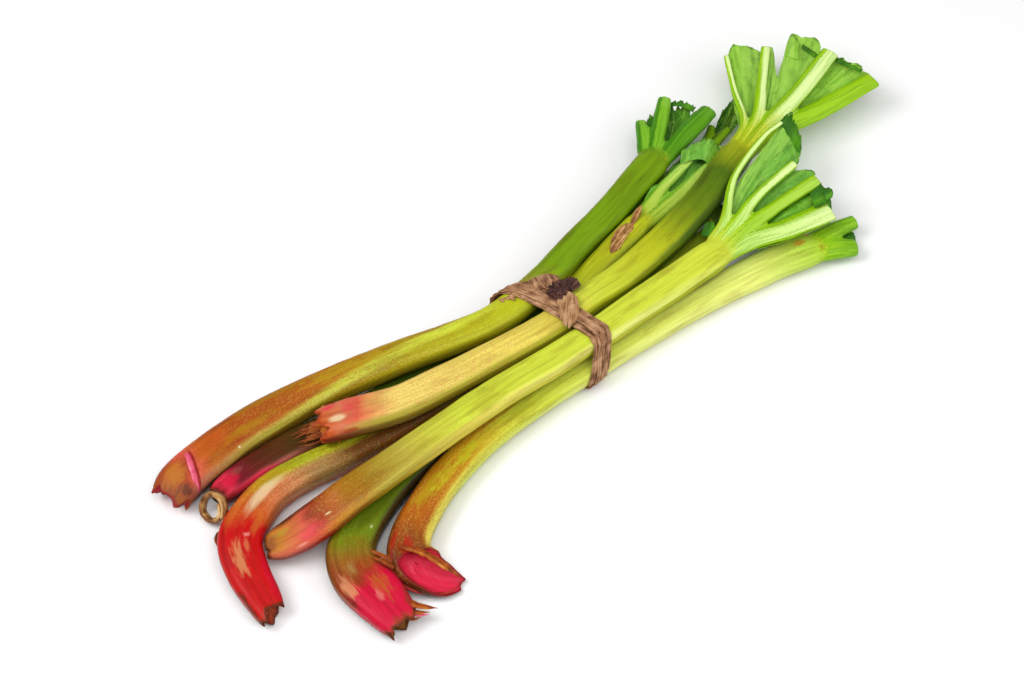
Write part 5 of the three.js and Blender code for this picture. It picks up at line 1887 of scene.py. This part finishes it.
# ---- The leaf blades: three points a spoke, from its root to its torn rim -------------------
FANS = (
    LeafFan("blade_back", (
        Sheet((
            (148, 62, 19.6, 150.5, 69, 19.4, 154, 76, 19.2),
            (152.5, 61, 19, 157.5, 69, 18.8, 163.5, 80, 18.8),
            (156, 59, 18.4, 164, 67, 18.2, 172.5, 80, 18.4),
            (158.5, 56.5, 17.8, 169, 63.5, 17.6, 181, 76, 18.2),
            (160.5, 53.5, 17, 173, 58.5, 16.6, 187, 67, 17),
        ), 2, 21),
        Sheet((
            (172, 74.5, 22.4, 173.8, 76, 22.8, 175, 77.1, 22.8),
            (176.2, 71.6, 22.8, 177.9, 72.6, 23.6, 179.8, 74.1, 23.6),
            (179.1, 67.5, 22.4, 181.3, 68.6, 23.2, 183, 69.9, 22.8),
            (180.7, 63.2, 22, 183.1, 64.2, 22.8, 185.5, 65.8, 22),
        ), 1.8, 47, crinkle=0.5, step=0.7, finish=1),
        Sheet((
            (152.6, 69.9, 23.8, 153.4, 71.7, 24.6, 154.6, 74, 24.6),
            (155.8, 69, 23.8, 157.1, 71.1, 24.6, 159.2, 73.7, 24.6),
            (157.2, 66.3, 22.8, 158.7, 68.3, 23.6, 160.6, 70.1, 23.6),
        ), 1.6, 48, crinkle=0.5, step=0.6, finish=1),
    ), LeafBlade("leaf_blade_back", "0 green, 60 deep_green, 100 green")),
    LeafFan("blade_curled_end", (
        Sheet((
            (183, 49.5, 8.5, 193, 55, 10, 201, 60, 13), (184, 48, 6.5, 197.5, 55, 8.5, 211, 62.5, 13),
            (184.5, 46.8, 9, 200, 54.2, 12, 212.5, 61.5, 16), (184, 46, 6.5, 200, 52, 9, 214, 58, 14),
            (184, 43, 8, 200, 46.5, 10.5, 213, 50, 14),
        ), 2, 22),
    ), LeafBlade("leaf_blade_curled_end", "40 deep_green, 70 leaf, 100 deep_green")),
    LeafFan("blade_red_hook", (
        Sheet((
            (124, 30, 20, 138, 36.5, 18.6, 149, 42.5, 18), (126, 26, 18.5, 142, 31, 17.5, 158, 39, 19),
            (128, 24, 19, 148, 30, 18, 166, 44, 18), (130, 22.5, 18, 153, 28.5, 17, 174, 43, 18),
            (131, 21, 15, 158, 26, 14, 181, 39, 17),
        ), 1.6, 23),
        Sheet((
            (148.1, 35.7, 26, 151.1, 38.7, 28, 155.4, 42, 27),
            (155.4, 33.8, 26, 159.8, 37.5, 29, 166.5, 41.9, 27),
            (160.4, 29.9, 26, 165.4, 33.6, 29.5, 173.8, 38.2, 27),
            (162.7, 25.6, 22.5, 167.5, 28.2, 25.5, 174.3, 32.4, 23.5),
        ), 1.4, 49, crinkle=1.0, step=0.7),
        Sheet((
            (160, 34.6, 19.2, 162.5, 35, 20.5, 164.9, 35.7, 20.8),
            (162.9, 30, 19.1, 166.5, 30.5, 20.3, 169.7, 31.6, 20.3),
            (163.7, 25.8, 18.1, 166.7, 25.6, 19.3, 169.3, 26.5, 19.3),
        ), 0.6, 39, crinkle=0.5, step=0.6, finish=1),
        Sheet((
            (109.1, 23.7, 24, 117.4, 29, 25, 125.2, 33.2, 25),
            (112.3, 23.1, 24, 120.5, 28.4, 25.5, 129.3, 33, 25),
            (115.2, 23.1, 23.5, 123.5, 28, 25, 133.1, 33.5, 24),
        ), 1.0, 38, crinkle=0.5, step=0.6),
    ), LeafBlade("leaf_blade_red_hook", "70 soft_green, 100 bright_green")),
    LeafFan("blade_top", (
        Sheet((
            (192, 34, 24, 205.5, 58.5, 26, 219, 80, 28), (195, 34, 23, 212, 57, 24.5, 232, 86, 27),
            (200, 32, 20.5, 221.5, 51.5, 22.5, 241, 75.5, 25),
            (203, 30, 22.5, 224.5, 48.5, 24, 247.5, 71.5, 26),
            (205, 29, 22.5, 224.5, 43.5, 24, 238, 54, 24), (205, 29, 22, 230.5, 43, 25, 262, 71, 27),
            (206, 28, 21.5, 235, 37, 24, 272, 57.5, 27), (207, 27, 18.5, 234, 33, 21.5, 270, 46, 24.5),
            (207, 25, 19.5, 238, 29, 22, 278, 38, 25), (207, 24, 18.5, 238, 25, 20.5, 283, 27, 23),
            (206, 21, 17.5, 237, 20, 18.5, 280, 16, 19.5),
        ), 1.6, 24),
        Sheet((
            (259.8, 59, 27.4, 261.1, 59.6, 27.9, 262.1, 60.4, 27.8),
            (260.6, 52.9, 27.4, 262.5, 53.2, 28.1, 264, 53.9, 27.8),
            (261.4, 48, 27.4, 263.1, 48.1, 28.1, 264.8, 48.7, 27.8),
        ), 1.4, 44, crinkle=0.5, step=0.6, finish=1),
        Sheet((
            (268.5, 41.9, 27.4, 269.7, 42.3, 28, 270.7, 42.8, 27.8),
            (270.1, 35.6, 27.4, 271.9, 36, 28.1, 273.3, 36.5, 27.8),
            (272.5, 29.5, 27.4, 273.9, 29.8, 28.1, 275.5, 30.2, 27.8),
            (274.7, 23.6, 27.4, 275.8, 24, 28, 277.1, 24.3, 27.8),
        ), 1.5, 45, crinkle=0.5, step=0.6, finish=1),
        Sheet((
            (248.8, 60.2, 27, 254.1, 64.8, 28, 258.7, 69.2, 28),
            (250.6, 56.9, 27, 256.2, 62.7, 28.5, 262.1, 69.5, 28),
            (252.4, 53.6, 27, 256.8, 58.9, 28, 261.4, 63.2, 28),
        ), 1.4, 46, crinkle=0.6, step=0.6),
    ), LeafBlade("leaf_blade_top", "0 bright_green, 20 light_green, 100 bright_green")),
    LeafFan("blade_centre", (
        Sheet((
            (148, -8, 23.5, 164, 3, 29.5, 206, 16, 36), (148, -9, 23.5, 169, 1.5, 30.5, 216, 20, 38),
            (149, -11, 23.5, 172, -1, 30.5, 215, 12, 38), (149, -13, 23, 172, -5, 29, 205, -4, 33.5),
            (150, -16.5, 21, 168, -11, 25, 198, -8.5, 30), (151, -19, 21.5, 173, -15.5, 25.5, 203, -16, 30),
            (151, -23, 19.5, 173, -22, 22, 203, -23, 26), (151, -27, 20, 173, -28, 23.5, 203, -31, 26),
            (149, -31, 17.2, 169, -37, 18, 196, -42, 19.5),
            (149, -34, 18, 168, -40.5, 19, 192, -45.5, 20.5),
        ), 1.6, 25),
        Sheet((
            (205, 17.5, 37, 206.3, 17.6, 38.2, 208.2, 18.7, 38.5),
            (206, 13.4, 36.7, 209.8, 14.9, 39.2, 214.6, 18.4, 39.5),
            (203.9, 6.6, 35.5, 208.7, 8.3, 38.6, 214.4, 12.7, 38),
            (202.6, 0.4, 34.1, 206, 0.9, 37.2, 211.1, 5.1, 36),
            (201.6, -3.4, 32.8, 203.7, -3.5, 35.2, 207, -0.8, 34),
        ), 0.8, 41, crinkle=0.5, step=0.7, finish=1),
        Sheet((
            (196, -32, 31.1, 199, -31.6, 31.8, 200.3, -32.1, 33),
            (196, -34.7, 30.5, 199.2, -35, 31.8, 201.1, -35.4, 33),
            (195.1, -37, 29.1, 198.1, -37.7, 30.4, 199.4, -37.6, 31),
        ), 0.4, 42, crinkle=0.5, step=0.5, finish=1),
        Sheet((
            (192.6, -24.5, 27.5, 196.9, -25.7, 29.4, 200.8, -25.9, 30),
            (190.5, -30.4, 27.5, 195.4, -31.5, 28.8, 199.2, -32.8, 30),
            (188.1, -35.8, 26.8, 193.4, -37.1, 27.4, 197, -38.2, 28),
        ), 0.6, 43, crinkle=0.5, step=0.7, finish=1),
    ), LeafBlade("leaf_blade_centre",
                 "0 light_green, 30 soft_green, 62 soft_green, 75 green, 90 green, 100 chartreuse")),
    LeafFan("blade_green_hook", (
        Sheet((
            (142, 2, 9, 145, 6, 11, 148, 11, 12.5), (146, -1, 8, 150, 3, 10, 155, 7, 12),
            (149, -4, 9, 154, -2, 11, 160, 1, 12), (151, -7.5, 7.5, 157, -7.5, 9, 163, -7, 10.5),
        ), 1.4, 26),
        Sheet((
            (124.1, -12.1, 27.4, 128.2, -9.2, 28, 132.1, -6.7, 28),
            (126.6, -14.7, 27.4, 131, -12, 28, 135.7, -8.5, 28),
            (128.4, -15.2, 26.4, 131.7, -14.6, 27, 135.3, -12.8, 27),
        ), 0.9, 37, crinkle=0.5, step=0.6, finish=1),
    ), LeafBlade("leaf_blade_green_hook", "0 leaf, 100 leaf")),
    LeafFan("blade_front", (
        Sheet((
            (193, -46.5, 5.2, 200, -48.5, 5.4, 206.5, -50.5, 6),
            (190.5, -50, 6.4, 197.5, -53, 6.8, 204, -55.8, 7.2),
            (188, -53.5, 4, 194, -57.5, 4, 199.5, -61, 4.2),
        ), 0.5, 27),
    ), LeafBlade("leaf_blade_front", "0 deep_green, 100 deep_green")),
)


# ---- The dried pieces: rows of x, y, z, width and depth ------------------------------------
SCRAPS = DriedScraps((
    # Withered skin beside the leaf end of the stalk with the red hook.
    Strand((
        (77, 9.8, 26, 3, 1.4), (82.2, 11.9, 27.2, 6, 1.6), (89, 14.1, 27.8, 4.5, 1.6),
        (96.2, 16.8, 27.6, 6.5, 1.6), (104.4, 19.8, 27.4, 2, 1.2),
    ), 5, 0.1),
    Strand(((81, 13.7, 27, 2.5, 1.2), (88.7, 17.4, 28.6, 4.5, 1.4), (95.5, 18.8, 30, 1.6, 1.2)), 5, 0.1),
    Strand(((98, 17.4, 28, 3, 1.2), (104.6, 20.9, 29.4, 4, 1.4), (110.6, 24, 29.8, 1.5, 1.2)), 5, 0.1),
    # The torn lip of the stalk at the back: a pink inner layer, and dark curled skin beside it.
    Strand((
        (-182.4, 50.3, 16.4, 1.5, 1.4), (-183.4, 44.6, 17.6, 3, 1.4), (-185, 38.9, 17, 3.6, 1.4),
        (-187, 32.7, 15.6, 3.6, 1.4), (-189, 28.2, 13, 3.4, 1.4), (-191, 26.4, 9.4, 2, 1.4),
    ), 2),
    Strand((
        (-180.6, 50.6, 16.6, 1, 1.4), (-181.4, 44.6, 17.9, 1.4, 1.4), (-183, 39, 17.5, 1.6, 1.4),
        (-185, 32.9, 16.2, 1.6, 1.4), (-187.2, 28.2, 13.8, 1.4, 1.4), (-190, 26.4, 9.6, 0.9, 1.4),
    ), 3, 0.1),
    Strand(((-192.4, 32.5, 11, 3.5, 3), (-195.7, 27.9, 8, 4.5, 3), (-199.2, 25.1, 5, 4, 3)), 1),
    Strand(((-191.5, 49.3, 11, 4, 3), (-197.6, 48.3, 8, 4.5, 3), (-202.9, 47.6, 5, 3, 3)), 1),
    # Shreds of withered sheath at the base of the topmost stalk.
    Tuft(((-103.1, 20.4, 21), (-117, 8.4, 19)), ((-124, 20, 18), (-131, 16, 16)), 19, 1.5, 5),
    Tuft(((-108, 15, 21), (-113, 11, 19.5)), ((-128, 25, 17), (-131, 21, 16)), 7, 1.4, 6),
    Tuft(((-103, 17.5, 28.5), (-101, 17, 28.5)), ((-96, 15, 30.5), (-92, 12, 30.5)), 7, 1.3, 7, stray=2.0),
    # Its orange-yellow ridge, and the folded lips of the other bases.
    Strand((
        (-111.4, 20.9, 30, 3, 3), (-113.2, 13.8, 28.5, 4, 3), (-114.6, 6.5, 25, 4, 3),
        (-114.4, 1.7, 20, 3, 3),
    ), 4),
    Strand((
        (-112.6, 21, 29.4, 1.6, 1.8), (-107, 17.6, 31.4, 2, 1.6), (-101, 13.4, 31.8, 1.2, 1.4),
    ), 3, 0.1),
    Strand((
        (-126.2, -68.2, 17, 2, 2.2), (-121.7, -73.6, 17.5, 3.5, 2.2), (-116.4, -82.2, 16.5, 4, 2.2),
        (-112.5, -91.7, 14, 4, 2.2), (-109.3, -98.7, 10, 3, 2.2),
    ), 1),
    Strand((
        (-130.6, -68, 16, 1.5, 1.8), (-135, -73, 13, 2.2, 1.8), (-136.8, -81.5, 10, 2.2, 1.8),
        (-130.4, -92.1, 7.5, 2.2, 1.8), (-120, -99.8, 6, 2, 1.8), (-111, -100.9, 6.5, 1.5, 1.8),
    ), 3),
    # Ragged brown tongues at the base of the green hook.
    Strand((
        (-141.3, -93.1, 12, 4, 1.4), (-137.1, -101.4, 13, 3.6, 1.4), (-130.1, -107.6, 12, 0.8, 1.4),
    ), 1),
    Strand(((-143.6, -94.4, 10, 4, 1.4), (-139.9, -101.6, 10, 3, 1.4), (-134, -105.8, 9.5, 0.7, 1.4)), 1),
    Strand(((-145.9, -95.7, 8, 3, 1.4), (-143.4, -102.8, 8, 2.2, 1.4), (-139, -104.7, 8, 0.7, 1.4)), 1),
    Strand(((-143.3, -96.6, 8.6, 2, 1.2), (-139.8, -103.2, 9, 1.8, 1.2), (-134.5, -106.5, 9, 0.6, 1.2)), 2),
    Strand(((-134.8, -73.9, 18, 3, 1.4), (-137, -69.1, 20, 3.2, 1.4), (-141.1, -61.4, 21, 0.9, 1.4)), 1),
    Strand((
        (-135.4, -76.4, 16, 2.6, 1.4), (-138.3, -71.6, 18.6, 2.6, 1.4), (-142, -65.3, 20, 0.8, 1.4),
    ), 1),
    # A dark flake on the red hook.
    Strand(((-193.9, 0.8, 9, 2, 1.2), (-197.3, -1.2, 8, 2.4, 1.2), (-199, -4.6, 7, 0.8, 1.2)), 0),
), (
    DriedLeaf("withered_sheath", "0 2c1004, 35 6c2c0c, 70 9c5420, 100 c88c4c", 0.7),
    DriedLeaf("leathery_sheath", "0 501804, 40 944008, 75 b86818, 100 d09840", 2.4, 0.5),
    DriedLeaf("torn_pink_sheath", "0 b83050, 50 dc5c78, 100 e88c98", 3.0, 0.4, 0.2),
    DriedLeaf("dark_red_lip", "0 700c08, 50 a0201c, 100 c04838", 2.0, 0.45, 0.3),
    DriedLeaf("orange_yellow_ridge", "0 c85c18, 50 e09838, 100 f0c468", 3.0, 0.45, 0.2),
    DriedLeaf("papery_sheath", "0 442410, 30 805028, 60 b08048, 100 dcb880", 1.1, 0.6, 0.5),
))


TIE_ENDS = (
    Sheet((
        (37.1, 3.2, 35, 40.4, 4.9, 36, 42.7, 6.1, 36.5), (38.6, -0.1, 35.5, 42.2, 0.9, 37, 46, 1.4, 37),
        (39.8, -3.1, 35, 43.6, -3.5, 36, 45.7, -2.6, 36),
    ), 0.8, 31, crinkle=0.4, step=0.6, finish=1),
    Sheet((
        (33.7, 0.7, 35, 28.1, -3.8, 35.2, 25, -8.8, 34),
        (36.3, -1.2, 35.8, 27.9, -9.4, 36, 21.8, -17.3, 34),
        (38.1, -4.3, 35.8, 31.4, -12.1, 36, 23.2, -21.7, 34),
        (38.8, -7.9, 35.5, 35.2, -14.3, 35.2, 29.9, -19.3, 34),
    ), 1.2, 32, crinkle=0.6, step=0.6, finish=2),
    Sheet((
        (5.1, 19.4, 31, 4.7, 17.9, 32.4, 5.2, 15.8, 32.8), (12.3, 20.7, 31, 10.6, 15.8, 33, 10, 12.2, 32.8),
        (19.1, 21.4, 31, 16.5, 15.3, 33.4, 16.7, 11.9, 33.2),
        (26, 20.5, 31, 23.3, 14.2, 33.5, 22.2, 10.1, 33.3),
        (32.1, 19.3, 31, 29.4, 13.1, 33.5, 28.7, 7.7, 33.3),
        (36.7, 16.2, 31.5, 34.5, 10.7, 33.7, 33.8, 5.3, 33.6),
        (40.2, 10.9, 32.5, 38.2, 6.5, 34.3, 36.2, 2.1, 34.2),
    ), 1.6, 33, crinkle=0.35, step=0.6, finish=2),
    Sheet((
        (21.1, 20.4, 31.4, 19.2, 14.3, 34.1, 19.1, 11.4, 33.6),
        (28.8, 19.5, 31.6, 26.4, 12.9, 34.3, 25.9, 8.6, 33.8),
        (36.4, 16.8, 32, 34.1, 11.2, 34.4, 33.6, 6.8, 34), (40.4, 12, 33, 38.3, 6.6, 35, 37.2, 2.5, 34.8),
    ), 1.0, 34, crinkle=0.4, step=0.6, finish=0),
)


def main() -> None:
    """Builds the bunch and the studio."""
    logging.basicConfig(level=logging.INFO, format="%(name)s %(message)s")
    for stalk in STALKS:
        stalk.build()
    for fan in FANS:
        fan.build()
    SCRAPS.build()
    Tie(STALKS, (
        DriedLeaf("dried_leaf_strip", "0 4c2c18, 30 80583c, 60 a87c58, 100 cca480"),
        DriedLeaf("dried_leaf_knot", "0 180c0c, 50 442824, 100 7c5444"),
        DriedLeaf("dried_leaf_torn_end", "0 6c4424, 40 a47850, 100 d0a880"),
    ), ends=TIE_ENDS).build()
    Studio().build()
    boxes = {"cad": CAD_BOX, "visual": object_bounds()}
    sizes = {name: [list(map(float, corner)) for corner in box] for name, box in boxes.items()}
    LOG.info("boxes %s", sizes)


if __name__ == "__main__":
    main()
